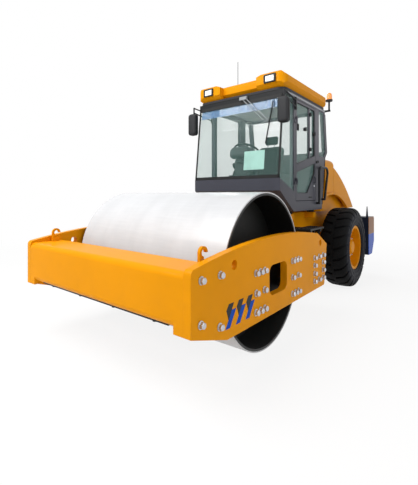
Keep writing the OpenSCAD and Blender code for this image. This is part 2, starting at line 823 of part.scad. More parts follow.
module hood_grilles() {
    color(dark) translate([hitch_x, 0, 0]) difference() {
        intersection() {
            hood_form(grille_sink, hood_low_z);
            block([grille_x[0] + seat_gap, -grille_half_w + seat_gap, hood_rear_z],
                  [grille_x[1] - seat_gap, grille_half_w - seat_gap, hood_top_z]);
        }
        hood_form(hood_wall, hood_low_z - 50);
        both_sides() for (i = [0 : louvre_n - 1])
            translate([grille_x[0] + grille_rim + i * louvre_pitch, 0, 0])
                block([0, grille_rim / 2, hood_low_z], [louvre_w, grille_half_w - grille_rim, hood_top_z]);
    }
}

cowl_r = 110;
cowl_edge_r = 60;

// Section of the cowl across the machine, drawn in by a wall's thickness for its inside.
module cowl_section(inset) {
    w = hood_half_w - inset;
    top = cowl_top_z - inset;
    r = cowl_r - inset;
    translate([-w, hood_low_z]) square([2 * w, top - r - hood_low_z]);
    translate([-w + r, hood_low_z]) square([2 * (w - r), top - hood_low_z]);
    for (side = [-1, 1]) translate([side * (w - r), top - r]) circle(r = r);
}

// Outline of the cowl along the machine, with a round edge towards the hood.
module cowl_outline() {
    back = hood_front + panel_gap;
    translate([back, hood_low_z]) square([well_x0 - back, cowl_top_z - cowl_edge_r - hood_low_z]);
    translate([back + cowl_edge_r, hood_low_z])
        square([well_x0 - back - cowl_edge_r, cowl_top_z - hood_low_z]);
    translate([back + cowl_edge_r, cowl_top_z - cowl_edge_r]) circle(r = cowl_edge_r);
}

module cowl() {
    color(yellow) translate([hitch_x, 0, 0]) {
        difference() {
            intersection() {
                along_x(hood_front, well_x0 - hood_front) cowl_section(0);
                along_y(-hood_half_w, 2 * hood_half_w) cowl_outline();
            }
            along_x(hood_front - cut, well_x0 - hood_wall - hood_front + cut) cowl_section(hood_wall);
            arch_cut();
        }
        arch_lip(hood_front + panel_gap, well_x0);
        // Bulkhead behind the cab, which stands on the deck, and ledges beside the inner walls
        block([well_x0 - hood_wall, -wall_y, frame_top_z + deck_t], [well_x0, wall_y, hood_foot_z + weld]);
        both_sides() block([hood_front + panel_gap, wall_y, hood_foot_z],
                           [well_x0 - weld, hood_half_w - weld, hood_foot_z + hood_wall]);
    }
}

// Cab

post_x = 100;
door_front = post_x - post_w;
door_back = -750;
door_sill_z = 1480;
chin_z = 1630;
side_drop = 180;
header_h = 60;
header_z = glass_top_z + header_h;
floor_t = 45;
rear_sill_z = 2310;
panel_top_z = 1760;
// Width of the posts behind the doors, and the height of the panels behind those
rear_post_w = 150;
quarter_z = 2212;
// Rear edge of the cab: the foot of its wall, the sill over the cowl, and the top of the glass
cab_rear = [[-cab_back, cab_bottom_z], [-cab_back - 155, quarter_z],
            [-cab_back - 245, quarter_z + 88], [-cab_back - 140, header_z]];

function rear_at(z) = lookup(z, [for (p = cab_rear) [p[1], p[0]]]);

// A strip along the cab's rear edge between two heights, t deep and drawn in by an inset.
module rear_strip(z0, z1, t, inset) {
    heights = [z0, for (p = cab_rear) if (p[1] > z0 && p[1] < z1) p[1], z1];
    polygon([for (z = heights) [rear_at(z) + inset, z],
             for (i = [len(heights) - 1 : -1 : 0]) [rear_at(heights[i]) + inset + t, heights[i]]]);
}

module base_outline() {
    polygon([[cab_front, chin_z], [cab_front, sill_z], [post_x, sill_z - side_drop],
             [post_x, door_sill_z], [rear_at(door_sill_z), door_sill_z], [-cab_back, cab_bottom_z],
             [post_x, cab_bottom_z]]);
}

module cab_base() {
    color(cab_grey) translate([hitch_x, 0, 0]) difference() {
        along_y(-cab_half_w, 2 * cab_half_w) base_outline();
        along_y(-cab_half_w + cab_wall, 2 * (cab_half_w - cab_wall)) polygon([
            [cab_front - cab_wall, chin_z + floor_t], [cab_front - cab_wall, sill_z + cut],
            [-cab_back + cab_wall, sill_z + cut], [-cab_back + cab_wall, cab_bottom_z + floor_t],
            [post_x - 10, cab_bottom_z + floor_t]]);
    }
}

// A post from the sill to the header, on both sides.
module post(x0, x1) {
    both_sides() block([x0, cab_half_w - post_w, door_sill_z], [x1, cab_half_w, glass_top_z + weld]);
}

door_hinge_z = [1720, 2600];
door_pin_d = 14;
knuckle_d = 30;
knuckle_h = 45;
door_hinge_y = cab_half_w + 16;
door_hinge_x = door_front + 2;

module cab_frame() {
    inner = cab_half_w - post_w;
    header_back = rear_at(glass_top_z);
    color(cab_grey) translate([hitch_x, 0, 0]) {
        post(door_front, post_x);
        post(door_back - rear_post_w, door_back);
        both_sides() along_y(inner, post_w) rear_strip(door_sill_z, glass_top_z + weld, post_w, 0);
        // Header ring
        difference() {
            block([header_back, -cab_half_w, glass_top_z], [cab_front - screen_lean, cab_half_w, header_z]);
            block([header_back + post_w, -inner, glass_top_z - cut],
                  [cab_front - screen_lean - post_w, inner, header_z + cut]);
        }
        // Rear wall and the panels under the side panes
        along_y(-inner - weld, 2 * (inner + weld)) rear_strip(door_sill_z, rear_sill_z, cab_wall, 0);
        both_sides() along_y(cab_half_w - cab_wall, cab_wall) polygon([
            [door_back - rear_post_w + weld, door_sill_z], [door_back - rear_post_w + weld, quarter_z],
            [rear_at(quarter_z) + post_w - weld, quarter_z],
            [rear_at(door_sill_z) + post_w - weld, door_sill_z]]);
        block([door_back - weld, -cab_half_w, door_sill_z],
              [door_front + weld, -cab_half_w + cab_wall, panel_top_z]);
        // Knuckles and pins of the door's hinges
        for (z = door_hinge_z) {
            translate([door_hinge_x, door_hinge_y, z]) cylinder(h = knuckle_h, d = knuckle_d);
            translate([door_hinge_x, door_hinge_y, z]) cylinder(h = 2 * knuckle_h + 6, d = door_pin_d);
            block([door_hinge_x, cab_half_w - weld, z], [post_x, door_hinge_y, z + knuckle_h]);
        }
    }
}

function screen_x(z) = cab_front - screen_lean * (z - sill_z) / (glass_top_z - sill_z);
// How far the side and rear panes lie inside the cab's faces
pane_in = 8;

function side_z(x) = sill_z - side_drop * (cab_front - x) / (cab_front - post_x);

module windscreen() {
    color(glass_tint) translate([hitch_x, 0, 0]) along_y(-cab_half_w + 4, 2 * cab_half_w - 8)
        polygon([[cab_front, sill_z], [screen_x(glass_top_z), glass_top_z],
                 [screen_x(glass_top_z) - glass_t, glass_top_z], [cab_front - glass_t, sill_z]]);
}

// The pane ahead of the door and the small one behind it, on both sides.
module quarter_glass() {
    corner_x = cab_front - glass_t - 4;
    knee_z = cab_rear[2][1];
    color(glass_tint) translate([hitch_x, 0, 0]) both_sides()
        along_y(cab_half_w - pane_in - glass_t, glass_t) {
            polygon([
                [post_x, side_z(post_x)], [corner_x, side_z(corner_x)],
                [cab_front - glass_t - seat_gap, sill_z],
                [screen_x(glass_top_z) - glass_t - seat_gap, glass_top_z], [post_x, glass_top_z]]);
            polygon([
                [door_back - rear_post_w, quarter_z], [door_back - rear_post_w, glass_top_z],
                [rear_at(glass_top_z) + post_w, glass_top_z], [rear_at(knee_z) + post_w, knee_z],
                [rear_at(quarter_z) + post_w, quarter_z]]);
        }
}

module side_glass() {
    color(glass_tint) translate([hitch_x, 0, 0])
        block([door_back, -cab_half_w + pane_in, panel_top_z],
              [door_front, -cab_half_w + pane_in + glass_t, glass_top_z]);
}

module rear_glass() {
    color(glass_tint) translate([hitch_x, 0, 0])
        along_y(-cab_half_w + post_w, 2 * (cab_half_w - post_w))
            rear_strip(rear_sill_z, glass_top_z, glass_t, pane_in);
}

// Roof

roof_front = cab_front - 100;
roof_back = -cab_back - 200;
trim_t = 35;
trim_in = 25;
roof_z = header_z + trim_t;
roof_half_w = cab_half_w + roof_over;
roof_corner = 110;
// Heights above the roof's underside: the foot and the top of its edge, and its flat middle
roof_foot = roof_h * 0.35;
roof_edge = roof_h * 0.77;
roof_mid = roof_h - 25;
// How far the underside slants in, and how far the front's middle lies behind the lamps
roof_slant = 75;
roof_recess = 90;
roof_bevel = 60;
hump_y = [310, 380];
roof_lamp_w = 175;
roof_lamp_h = 116;
roof_lamp_t = 50;
roof_lamp_y = 524;
roof_lamp_z = roof_z + roof_foot + roof_lamp_h / 2 + 2;

module roof_plan(inset) {
    translate([(roof_front + roof_back) / 2, 0])
        round_rect(roof_front - roof_back - 2 * inset, 2 * (roof_half_w - inset), roof_corner);
}

// One side of the roof's section across the machine, from its underside to its flat middle
roof_side = [[roof_half_w - roof_slant, 0], [roof_half_w, roof_foot], [roof_half_w, roof_edge],
             [roof_half_w - roof_bevel, roof_h], [hump_y[1], roof_h], [hump_y[0], roof_mid]];

// Section of the roof along the machine, whose underside slants in at both ends.
module roof_length(front) {
    polygon([[roof_back + roof_slant, 0], [front - roof_slant, 0], [front, roof_foot], [front, roof_h],
             [roof_back, roof_h], [roof_back, roof_foot]]);
}

module cab_roof() {
    color(yellow) translate([hitch_x, 0, roof_z]) difference() {
        intersection() {
            linear_extrude(roof_h) roof_plan(0);
            along_x(roof_back, roof_front - roof_back) polygon(concat(roof_side,
                [for (i = [len(roof_side) - 1 : -1 : 0]) [-roof_side[i][0], roof_side[i][1]]]));
            union() {
                along_y(-hump_y[0] - weld, 2 * (hump_y[0] + weld)) roof_length(roof_front - roof_recess);
                both_sides() along_y(hump_y[0], roof_half_w - hump_y[0]) roof_length(roof_front);
            }
        }
        translate([0, 0, -roof_z]) both_sides() roof_lamp(seat_gap, cut);
    }
}

// One roof lamp, or its pocket with a gap round it.
module roof_lamp(gap, stand) {
    w = roof_lamp_w / 2 + gap;
    h = roof_lamp_h / 2 + gap;
    block([roof_front - roof_lamp_t, roof_lamp_y - w, roof_lamp_z - h],
          [roof_front + stand, roof_lamp_y + w, roof_lamp_z + h]);
}

module roof_trim() {
    color(dark) translate([hitch_x, 0, header_z]) linear_extrude(trim_t) roof_plan(trim_in);
}

module roof_lamps() {
    color(lamp_white) translate([hitch_x, 0, 0]) both_sides() roof_lamp(0, 10);
}

beacon_x = roof_back - 87;
beacon_y = 745;
beacon_z = 3205;
beacon_d = 106;
beacon_h = 100;
beacon_cap = 30;

module beacon() {
    color(amber) translate([hitch_x + beacon_x, beacon_y, beacon_z]) {
        cylinder(h = beacon_h, d = beacon_d);
        translate([0, 0, beacon_h - weld])
            cylinder(h = beacon_cap + weld, d1 = beacon_d, d2 = beacon_d - 40);
    }
}

antenna_x = 50;
antenna_y = -235;
antenna_l = 480;
antenna_foot_h = 40;
// Bracket of the beacon, which comes out of the trim
arm_half = 18;
arm_y = 560;
arm_z = [header_z + 4, roof_z - 4];

module antenna() {
    color(dark) translate([hitch_x, 0, 0]) {
        translate([antenna_x, antenna_y, roof_z + roof_mid]) {
            cylinder(h = antenna_foot_h, d1 = 44, d2 = 20);
            translate([0, 0, antenna_foot_h - weld]) cylinder(h = antenna_l - antenna_foot_h, d = 8);
        }
        block([beacon_x - arm_half, arm_y, arm_z[0]],
              [roof_back + trim_in, arm_y + 2 * arm_half, arm_z[1]]);
        block([beacon_x - arm_half, arm_y, arm_z[0]],
              [beacon_x + arm_half, beacon_y + arm_half, arm_z[1]]);
        translate([beacon_x, beacon_y, arm_z[0]]) cylinder(h = beacon_z - arm_z[0], d = 30);
        translate([beacon_x, beacon_y, beacon_z - 16]) cylinder(h = 16, d = beacon_d + 6);
    }
}

// Cab furniture

floor_z = cab_bottom_z + floor_t;
seat_x = -330;
seat_z = 1700;
pedestal = [360, 340];
cushion = [520, 520, 130];
backrest = [110, 500, 640];
headrest = [80, 260, 180];
back_tilt = 10;
back_seat = 40;

module seat() {
    color(dark) translate([hitch_x + seat_x, 0, 0]) {
        block([-pedestal[0] / 2, -pedestal[1] / 2, floor_z], [pedestal[0] / 2, pedestal[1] / 2, seat_z]);
        translate([0, 0, seat_z - weld]) linear_extrude(cushion[2]) round_rect(cushion[0], cushion[1], 90);
        translate([(backrest[0] - cushion[0]) / 2, 0, seat_z + cushion[2] - back_seat])
            rotate([0, -back_tilt, 0]) {
                along_x(-backrest[0] / 2, backrest[0]) translate([0, backrest[2] / 2])
                    round_rect(backrest[1], backrest[2], 90);
                along_x(-headrest[0] / 2, headrest[0]) translate([0, backrest[2] + headrest[2] / 2 - 10])
                    round_rect(headrest[1], headrest[2], 60);
            }
    }
}

column_x = 170;
dash_z = 2110;
dash_run = 110;
dash_front = column_x + 120;
dash_half_w = 110;
wheel_tilt = 28;
wheel_r = 190;
wheel_h = 120;
grip_d = 30;
armrest_y = [300, 460];
armrest_z = 1900;

// Height of the floor, which rises ahead of the posts
function floor_at(x) = floor_z
    + max(0, x - post_x + 10) * (chin_z - cab_bottom_z) / (cab_front - cab_wall - post_x + 10);

module console() {
    color(dark) translate([hitch_x, 0, 0]) {
        along_y(-dash_half_w, 2 * dash_half_w) polygon([
            [column_x - 60, floor_at(column_x - 60)], [column_x + 140, floor_at(column_x + 140)],
            [column_x + 170, dash_z - 40], [dash_front, dash_z + dash_run * tan(wheel_tilt)],
            [dash_front - dash_run, dash_z]]);
        both_sides() block([seat_x - 230, armrest_y[0], floor_z], [seat_x + 300, armrest_y[1], armrest_z]);
    }
}

module steering_wheel() {
    color(dark)
        translate([hitch_x + dash_front - dash_run / 2, 0, dash_z + dash_run / 2 * tan(wheel_tilt)])
        rotate([0, -wheel_tilt, 0]) translate([0, 0, seat_gap]) {
            cylinder(h = wheel_h, d = 44);
            translate([0, 0, wheel_h]) rotate_extrude() translate([wheel_r, 0]) circle(d = grip_d);
            translate([0, 0, wheel_h - 12]) cylinder(h = 24, d = 90);
            for (a = [30, 150, 270]) rotate([0, 0, a]) translate([0, -14, wheel_h - 7])
                cube([wheel_r, 28, 14]);
        }
}

wiper_gap = 26;
wiper_pivot_y = 110;
wiper_arm_y = [-35, 25];
wiper_arm_z = [2590, glass_top_z + 28];
wiper_run = 390;
wiper_clamp = [340, 430];
wiper_blade = [[572, 2860], [490, 2280]];

// A point in front of the windscreen, at a distance from the glass.
function on_screen(y, z, gap) = [screen_x(z) + gap, y, z];

module wiper() {
    color(dark) translate([hitch_x, 0, 0]) {
        block([screen_x(glass_top_z), wiper_pivot_y - 70, glass_top_z + 8],
              [screen_x(glass_top_z) + wiper_gap + 12, wiper_pivot_y + 50, header_z - 6]);
        for (y = wiper_arm_y)
            rod(on_screen(wiper_pivot_y + y, wiper_arm_z[1], wiper_gap),
                on_screen(wiper_pivot_y + wiper_run + y, wiper_arm_z[0], wiper_gap), 12);
        rod(on_screen(wiper_pivot_y + wiper_clamp[0], wiper_arm_z[0], wiper_gap),
            on_screen(wiper_pivot_y + wiper_clamp[1], wiper_arm_z[0], wiper_gap), 16);
        rod(on_screen(wiper_blade[0][0], wiper_blade[0][1], wiper_gap - 10),
            on_screen(wiper_blade[1][0], wiper_blade[1][1], wiper_gap - 10), 18);
    }
}

mirror_x = 540;
mirror_y = 765;
mirror_z = 2695;
mirror_size = [50, 150, 340];
mirror_tube = 20;
hanger_d = 24;
// The mirror's bracket on the front post, and the heights of its two tubes at post and mirror
bracket_x = [post_x - 52, post_x - 12];
bracket_z = [2790, 2960];
bracket_t = 24;
tube_z = [[2925, 2965], [2830, 2890]];

module mirrors() {
    hang = [mirror_x - mirror_tube, mirror_y];
    color(dark) translate([hitch_x, 0, 0]) both_sides() {
        along_x(mirror_x - mirror_size[0] / 2, mirror_size[0]) translate([mirror_y, mirror_z])
            round_rect(mirror_size[1], mirror_size[2], 45);
        block([bracket_x[0], cab_half_w, bracket_z[0]],
              [bracket_x[1], cab_half_w + bracket_t, bracket_z[1]]);
        for (z = tube_z)
            rod([(bracket_x[0] + bracket_x[1]) / 2, cab_half_w + bracket_t - mirror_tube / 2, z[0]],
                [hang[0], hang[1], z[1]], mirror_tube);
        translate([hang[0], hang[1], mirror_z]) cylinder(h = tube_z[0][1] - mirror_z, d = hanger_d);
        translate([hang[0], hang[1], tube_z[0][1]]) sphere(d = hanger_d + 2);
    }
}

rail_d = 36;
rail_y = cab_half_w + 45;
rail_x = [door_back - 40, -cab_back - 145];
rail_foot = [[door_back - 40, 1440], [-cab_back - 5, 1500]];
rail_top_z = 2025;
rail_bend = 90;

// A quarter bend of the rail, which starts at an angle.
module rail_corner(x, from) {
    translate([x, rail_y, rail_top_z - rail_bend]) rotate([90, 0, 0]) rotate([0, 0, from])
        rotate_extrude(angle = 90) translate([rail_bend, 0]) circle(d = rail_d);
}

module handrails() {
    bend_z = rail_top_z - rail_bend;
    color(dark) translate([hitch_x, 0, 0]) both_sides() {
        for (i = [0, 1]) {
            foot = rail_foot[i];
            rod([foot[0], rail_y, foot[1]], [rail_x[i], rail_y, bend_z], rail_d);
            bar_y(foot[0], foot[1], cab_half_w, rail_y - cab_half_w, rail_d);
            for (p = [foot, [rail_x[i], bend_z]])
                translate([p[0], rail_y, p[1]]) sphere(d = rail_d + 2);
        }
        rail_corner(rail_x[0] - rail_bend, 0);
        rail_corner(rail_x[1] + rail_bend, 90);
        bar_x(rail_x[1] + rail_bend, rail_y, rail_top_z, rail_x[0] - rail_x[1] - 2 * rail_bend, rail_d);
    }
}

step_x = [-520, 30];
step_y = 930;
step_z = 1090;
tread_t = 24;
tread_in = frame_half_w + 230;
step_arm = [50, 46];
// Lower tread: how far it reaches back, its height, its depth and its hangers' size
low_step_back = 150;
low_step_z = 580;
low_step_w = 142;
hanger = [40, 20];

module steps() {
    low = step_x[0] - low_step_back;
    hang_y = step_y - 118;
    color(dark) translate([hitch_x, 0, 0]) both_sides() {
        block([step_x[0], tread_in, step_z - tread_t], [step_x[1], step_y, step_z]);
        for (x = [step_x[0] + 60, step_x[1] - 110])
            block([x, frame_half_w, step_z - tread_t - step_arm[1]],
                  [x + step_arm[0], step_y - 20, step_z - tread_t + weld]);
        // Lower tread on two hangers
        for (x = [low, step_x[0] + 60])
            block([x, hang_y - hanger[1] - weld, low_step_z - tread_t],
                  [x + hanger[0], hang_y - weld, step_z - tread_t + weld]);
        block([low, hang_y - low_step_w, low_step_z - tread_t], [step_x[0] + 100, hang_y, low_step_z]);
        block([low, hang_y - hanger[1] - weld, step_z - 2 * tread_t],
              [step_x[0] + weld, hang_y, step_z - tread_t + weld]);
    }
}

module cab_mounts() {
    color(dark) translate([hitch_x, 0, 0]) both_sides() for (x = mount_x)
        translate([x, mount_y, frame_top_z]) cylinder(h = mount_h, d = 110);
}

// Door

door_out = cab_half_w;
door_low_z = door_sill_z + panel_gap;
door_top_z = glass_top_z - panel_gap;
door_x0 = door_back + panel_gap;
door_x1 = door_front - panel_gap;
door_rim = 28;
pane_r = 45;
pane_low_z = 1597;
// Run and rise of the slanting edge at the rear of the lower pane
pane_slant = [342, 355];
// The bar between the panes: the heights of its underside at front and rear, and its depth
door_bar_z = [1895, 2085];
door_bar_h = 115;
pane_w = door_x1 - door_x0 - 2 * door_rim;
pane_h = door_top_z - door_rim - pane_low_z;

// The door's window: a tall opening with a slanting bar and a slanting lower rear edge.
// A gap draws it in for the panes.
module door_window(g) {
    slant = g * sqrt(2);
    difference() {
        translate([door_x0 + door_rim + pane_w / 2, pane_low_z + pane_h / 2])
            round_rect(pane_w - 2 * g, pane_h - 2 * g, pane_r);
        polygon([[door_x0, door_bar_z[1] - g], [door_x1, door_bar_z[0] - g],
                 [door_x1, door_bar_z[0] + door_bar_h + g], [door_x0, door_bar_z[1] + door_bar_h + g]]);
        translate([door_x0, pane_low_z])
            polygon([[0, 0], [pane_slant[0] + slant, 0], [0, pane_slant[1] + slant]]);
    }
}

// Pull handle: its front edge, its ends, its bar's width and how far it stands out
handle_x = door_x0 + 76;
handle_z = [1760, 1850];
handle_w = 24;
handle_out = 34;
handle_bar = 14;

module door() {
    color(cab_grey) translate([hitch_x, 0, 0]) {
        along_y(door_out - cab_wall, cab_wall) difference() {
            translate([door_x0, door_low_z]) square([door_x1 - door_x0, door_top_z - door_low_z]);
            door_window(0);
        }
        for (z = door_hinge_z) translate([0, 0, z + knuckle_h + 1]) difference() {
            union() {
                translate([door_hinge_x, door_hinge_y, 0]) cylinder(h = knuckle_h, d = knuckle_d);
                block([door_x1 - door_rim, door_out - weld, 0], [door_x1, door_hinge_y, knuckle_h]);
                block([door_x1 - weld, door_out + panel_gap / 2, 0],
                      [door_hinge_x, door_hinge_y, knuckle_h]);
            }
            translate([door_hinge_x, door_hinge_y, -knuckle_h])
                cylinder(h = 3 * knuckle_h, d = door_pin_d + 2 * run_gap);
        }
        for (z = [handle_z[0], handle_z[1] - handle_bar])
            block([handle_x - handle_w, door_out - weld, z],
                  [handle_x, door_out + handle_out, z + handle_bar]);
        block([handle_x - handle_w, door_out + handle_out - handle_bar, handle_z[0]],
              [handle_x, door_out + handle_out, handle_z[1]]);
    }
}

module door_glass() {
    color(glass_tint) translate([hitch_x, 0, 0])
        along_y(door_out - cab_wall / 2 - glass_t / 2, glass_t) door_window(seat_gap);
}

side_plate_left();
side_plate_right();
front_beam();
rear_beam();
scrapers();
drum_carriers();
drum_dampers();
drum();
hitch();
rear_frame();
rear_axle();
engine();
counterweight();
tail_lamps();
cowl();
steering_barrels();
steering_rod_left();
steering_rod_right();
cab_base();
cab_frame();
cab_roof();
roof_trim();
roof_lamps();
windscreen();
quarter_glass();
side_glass();
rear_glass();
seat();
console();
steering_wheel();
wiper();
mirrors();
beacon();
antenna();
handrails();
steps();
cab_mounts();
door();
door_glass();
hood();
hood_grilles();
rim_left();
rim_right();
tyre_left();
tyre_right();
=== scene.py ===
import math

import bmesh
import bpy
from mathutils import Matrix, Vector


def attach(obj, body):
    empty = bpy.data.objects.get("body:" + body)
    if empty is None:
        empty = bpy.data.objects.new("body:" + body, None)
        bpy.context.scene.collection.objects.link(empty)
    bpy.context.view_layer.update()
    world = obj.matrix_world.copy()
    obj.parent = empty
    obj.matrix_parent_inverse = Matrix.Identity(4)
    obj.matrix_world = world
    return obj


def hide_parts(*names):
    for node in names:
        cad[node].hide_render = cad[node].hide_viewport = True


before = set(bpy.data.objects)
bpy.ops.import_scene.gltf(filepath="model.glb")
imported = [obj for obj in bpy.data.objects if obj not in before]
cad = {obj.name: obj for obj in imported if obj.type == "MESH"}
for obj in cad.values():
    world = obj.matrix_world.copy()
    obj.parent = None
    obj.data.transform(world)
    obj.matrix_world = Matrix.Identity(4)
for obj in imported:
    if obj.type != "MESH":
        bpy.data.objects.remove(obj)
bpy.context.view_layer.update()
scene = bpy.context.scene
scene.view_settings.view_transform = "Standard"


def addObject(name, data):
    made = bpy.data.objects.new(name, data)
    scene.collection.objects.link(made)
    return made


# Camera, floor and studio light

viewpoint = {
    "place": (4.909, 2.708, 1.565),
    "heading": 220.86,          # degrees from +X, level
    "focal": 342.37,            # pixels
    "middle": (182.92, 195.34),  # pixel that looks straight ahead
    "picture": (418, 485),
    "sensor": 36.0,
    "clip": (0.05, 200),
}


def placeCamera(v):
    data = bpy.data.cameras.new("photoCamera")
    wide, tall = v["picture"]
    data.sensor_width = v["sensor"]
    data.lens = v["focal"] * v["sensor"] / tall
    data.shift_x = (wide / 2 - v["middle"][0]) / tall
    data.shift_y = (v["middle"][1] - tall / 2) / tall
    data.clip_start, data.clip_end = v["clip"]
    cam = addObject("photoCamera", data)
    cam.location = v["place"]
    cam.rotation_euler = (math.radians(90), 0, math.radians(v["heading"] - 90))
    scene.camera = cam


placeCamera(viewpoint)

studio = {
    "ambient": 0.34,
    "floorSize": 160.0,
    "floorColour": (0.9, 0.9, 0.9, 1),
    "floorGlow": (0.86, 1.0),   # near the machine, and further out than shadowReach
    "shadowReach": (3.5, 9.0),
    "lamps": [  # name, place, aim, size, watts
        ("keyLamp", (6.5, -2.0, 8.0), (0.3, 0, 1.0), 6.0, 840),
        ("sideLamp", (3.0, 9.0, 6.5), (-0.3, 0, 1.2), 5.0, 230),
        ("backLamp", (-7.5, -4.0, 7.0), (-0.5, 0, 1.2), 5.0, 380),
    ],
}


class Wire:  # a shader socket that can stand in a sum
    def __init__(self, tree, socket):
        self.tree, self.socket = tree, socket

    def math(self, operation, *others, clamp=False):
        step = self.tree.nodes.new("ShaderNodeMath")
        step.operation, step.use_clamp = operation, clamp
        for entry, value in zip(step.inputs, (self,) + others):
            plug(self.tree, entry, value)
        return Wire(self.tree, step.outputs[0])

    def __add__(self, other):
        return self.math("ADD", other)

    def __sub__(self, other):
        return self.math("SUBTRACT", other)

    def __rsub__(self, other):
        return self * -1 + other

    def __mul__(self, other):
        return self.math("MULTIPLY", other)

    def above(self, limit):
        return self.math("GREATER_THAN", limit)

    def upTo(self, low, high):  # 0 at low, 1 at high, straight between
        return ((self - low) * (1 / (high - low))).math("ADD", 0.0, clamp=True)


def plug(tree, entry, value):
    if isinstance(value, Wire):
        tree.links.new(value.socket, entry)
    else:
        entry.default_value = value


class Nodes:  # makes nodes in its tree
    def node(self, kind, settings=None, inputs=None, out=0):
        made = self.tree.nodes.new(kind)
        for key, value in (settings or {}).items():
            setattr(made, key, value)
        for key, value in (inputs or {}).items():
            plug(self.tree, made.inputs[key], value)
        return Wire(self.tree, made.outputs[out]) if made.outputs else made


class Finish(Nodes):  # one material
    def __init__(self, name):
        self.material = bpy.data.materials.new(name)
        self.material.use_nodes = True
        self.tree = self.material.node_tree
        self.tree.nodes.clear()
        self.place = self.node("ShaderNodeTexCoord", out="Object")

    def axis(self, letter):
        return self.node("ShaderNodeSeparateXYZ", None, {0: self.place}, out=letter)

    def radius(self, axle):  # distance from an axle that lies along Y
        x, z = self.axis("X") - axle[0], self.axis("Z") - axle[1]
        return (x * x + z * z).math("SQRT")

    def noise(self, scale, detail=3.0, stretch=None):
        where = self.place
        if stretch:
            where = self.node("ShaderNodeMapping", None, {"Vector": self.place, "Scale": stretch})
        return self.node("ShaderNodeTexNoise", None,
                         {"Vector": where, "Scale": scale, "Detail": detail, "Roughness": 0.55})

    def blend(self, share, first, second):
        made = self.tree.nodes.new("ShaderNodeMix")
        made.data_type = "RGBA"
        for index, value in ((0, share), (6, first), (7, second)):
            plug(self.tree, made.inputs[index], value)
        return Wire(self.tree, made.outputs[2])

    def roundedNormal(self, radius):
        return self.node("ShaderNodeBevel", {"samples": 4}, {"Radius": radius})

    def edges(self, radius, low=0.04, high=0.25):  # 1 along the sharp edges of a solid
        soft = self.roundedNormal(radius)
        flat = self.node("ShaderNodeNewGeometry", out="Normal")
        same = self.node("ShaderNodeVectorMath", {"operation": "DOT_PRODUCT"},
                         {0: soft, 1: flat}, out="Value")
        return (1 - same).upTo(low, high)

    def bump(self, height, distance, strength=1.0, normal=None):
        inputs = {"Height": height, "Distance": distance, "Strength": strength}
        if normal:
            inputs["Normal"] = normal
        return self.node("ShaderNodeBump", None, inputs)

    def surface(self, **sockets):
        shader = self.node("ShaderNodeBsdfPrincipled", None,
                           {key.replace("_", " "): value for key, value in sockets.items()})
        self.finish(shader)
        return self.material

    def finish(self, shader):
        self.node("ShaderNodeOutputMaterial", None, {"Surface": shader})


def colourOf(code):  # sRGB hex code to a linear colour
    parts = [int(code[i:i + 2], 16) / 255 for i in (0, 2, 4)]
    return tuple(p / 12.92 if p <= 0.04045 else ((p + 0.055) / 1.055) ** 2.4 for p in parts) + (1.0,)


def shade(colour, times, plus=0.0):
    return tuple(min(1, c * times + plus) for c in colour[:3]) + (1,)


def seenDirectly(tree):  # 1 for the rays that show a surface, 0 for those that only light it
    path = tree.nodes.new("ShaderNodeLightPath")
    seen = Wire(tree, path.outputs["Is Camera Ray"])
    for ray in ("Is Glossy Ray", "Is Transmission Ray"):
        seen = seen.math("MAXIMUM", Wire(tree, path.outputs[ray]))
    return seen


def lightStudio(s):
    world = bpy.data.worlds.new("studio")
    scene.world = world
    world.use_nodes = True
    tree = world.node_tree
    tree.nodes.clear()
    back = tree.nodes.new("ShaderNodeBackground")
    plug(tree, back.inputs["Strength"], seenDirectly(tree) * (1 - s["ambient"]) + s["ambient"])
    out = tree.nodes.new("ShaderNodeOutputWorld")
    tree.links.new(back.outputs[0], out.inputs["Surface"])
    back.inputs["Color"].default_value = (1, 1, 1, 1)

    for name, place, aim, size, watts in s["lamps"]:
        data = bpy.data.lights.new(name, "AREA")
        data.size, data.energy = size, watts
        lamp = addObject(name, data)
        lamp.location = place
        lamp.rotation_euler = (Vector(aim) - Vector(place)).to_track_quat("-Z", "Y").to_euler()

    half = s["floorSize"] / 2
    mesh = bpy.data.meshes.new("floor")
    corners = [(-half, -half, 0), (half, -half, 0), (half, half, 0), (-half, half, 0)]
    mesh.from_pydata(corners, [], [(0, 1, 2, 3)])
    floor = addObject("floor", mesh)
    paper = Finish("floorPaper")
    seen = seenDirectly(paper.tree)
    away = paper.node("ShaderNodeVectorMath", {"operation": "LENGTH"}, {0: paper.place}, out="Value")
    near, far = s["floorGlow"]
    share = away.upTo(*s["shadowReach"]) * (far - near) + near
    matt = paper.node("ShaderNodeBsdfDiffuse", None, {"Color": s["floorColour"]})
    glow = paper.node("ShaderNodeEmission", None, {"Color": (1, 1, 1, 1), "Strength": 1.0})
    paper.finish(paper.node("ShaderNodeMixShader", None, {0: seen * share, 1: matt, 2: glow}))
    mesh.materials.append(paper.material)


lightStudio(studio)
print("camera, floor and lamps placed")


# Finishes

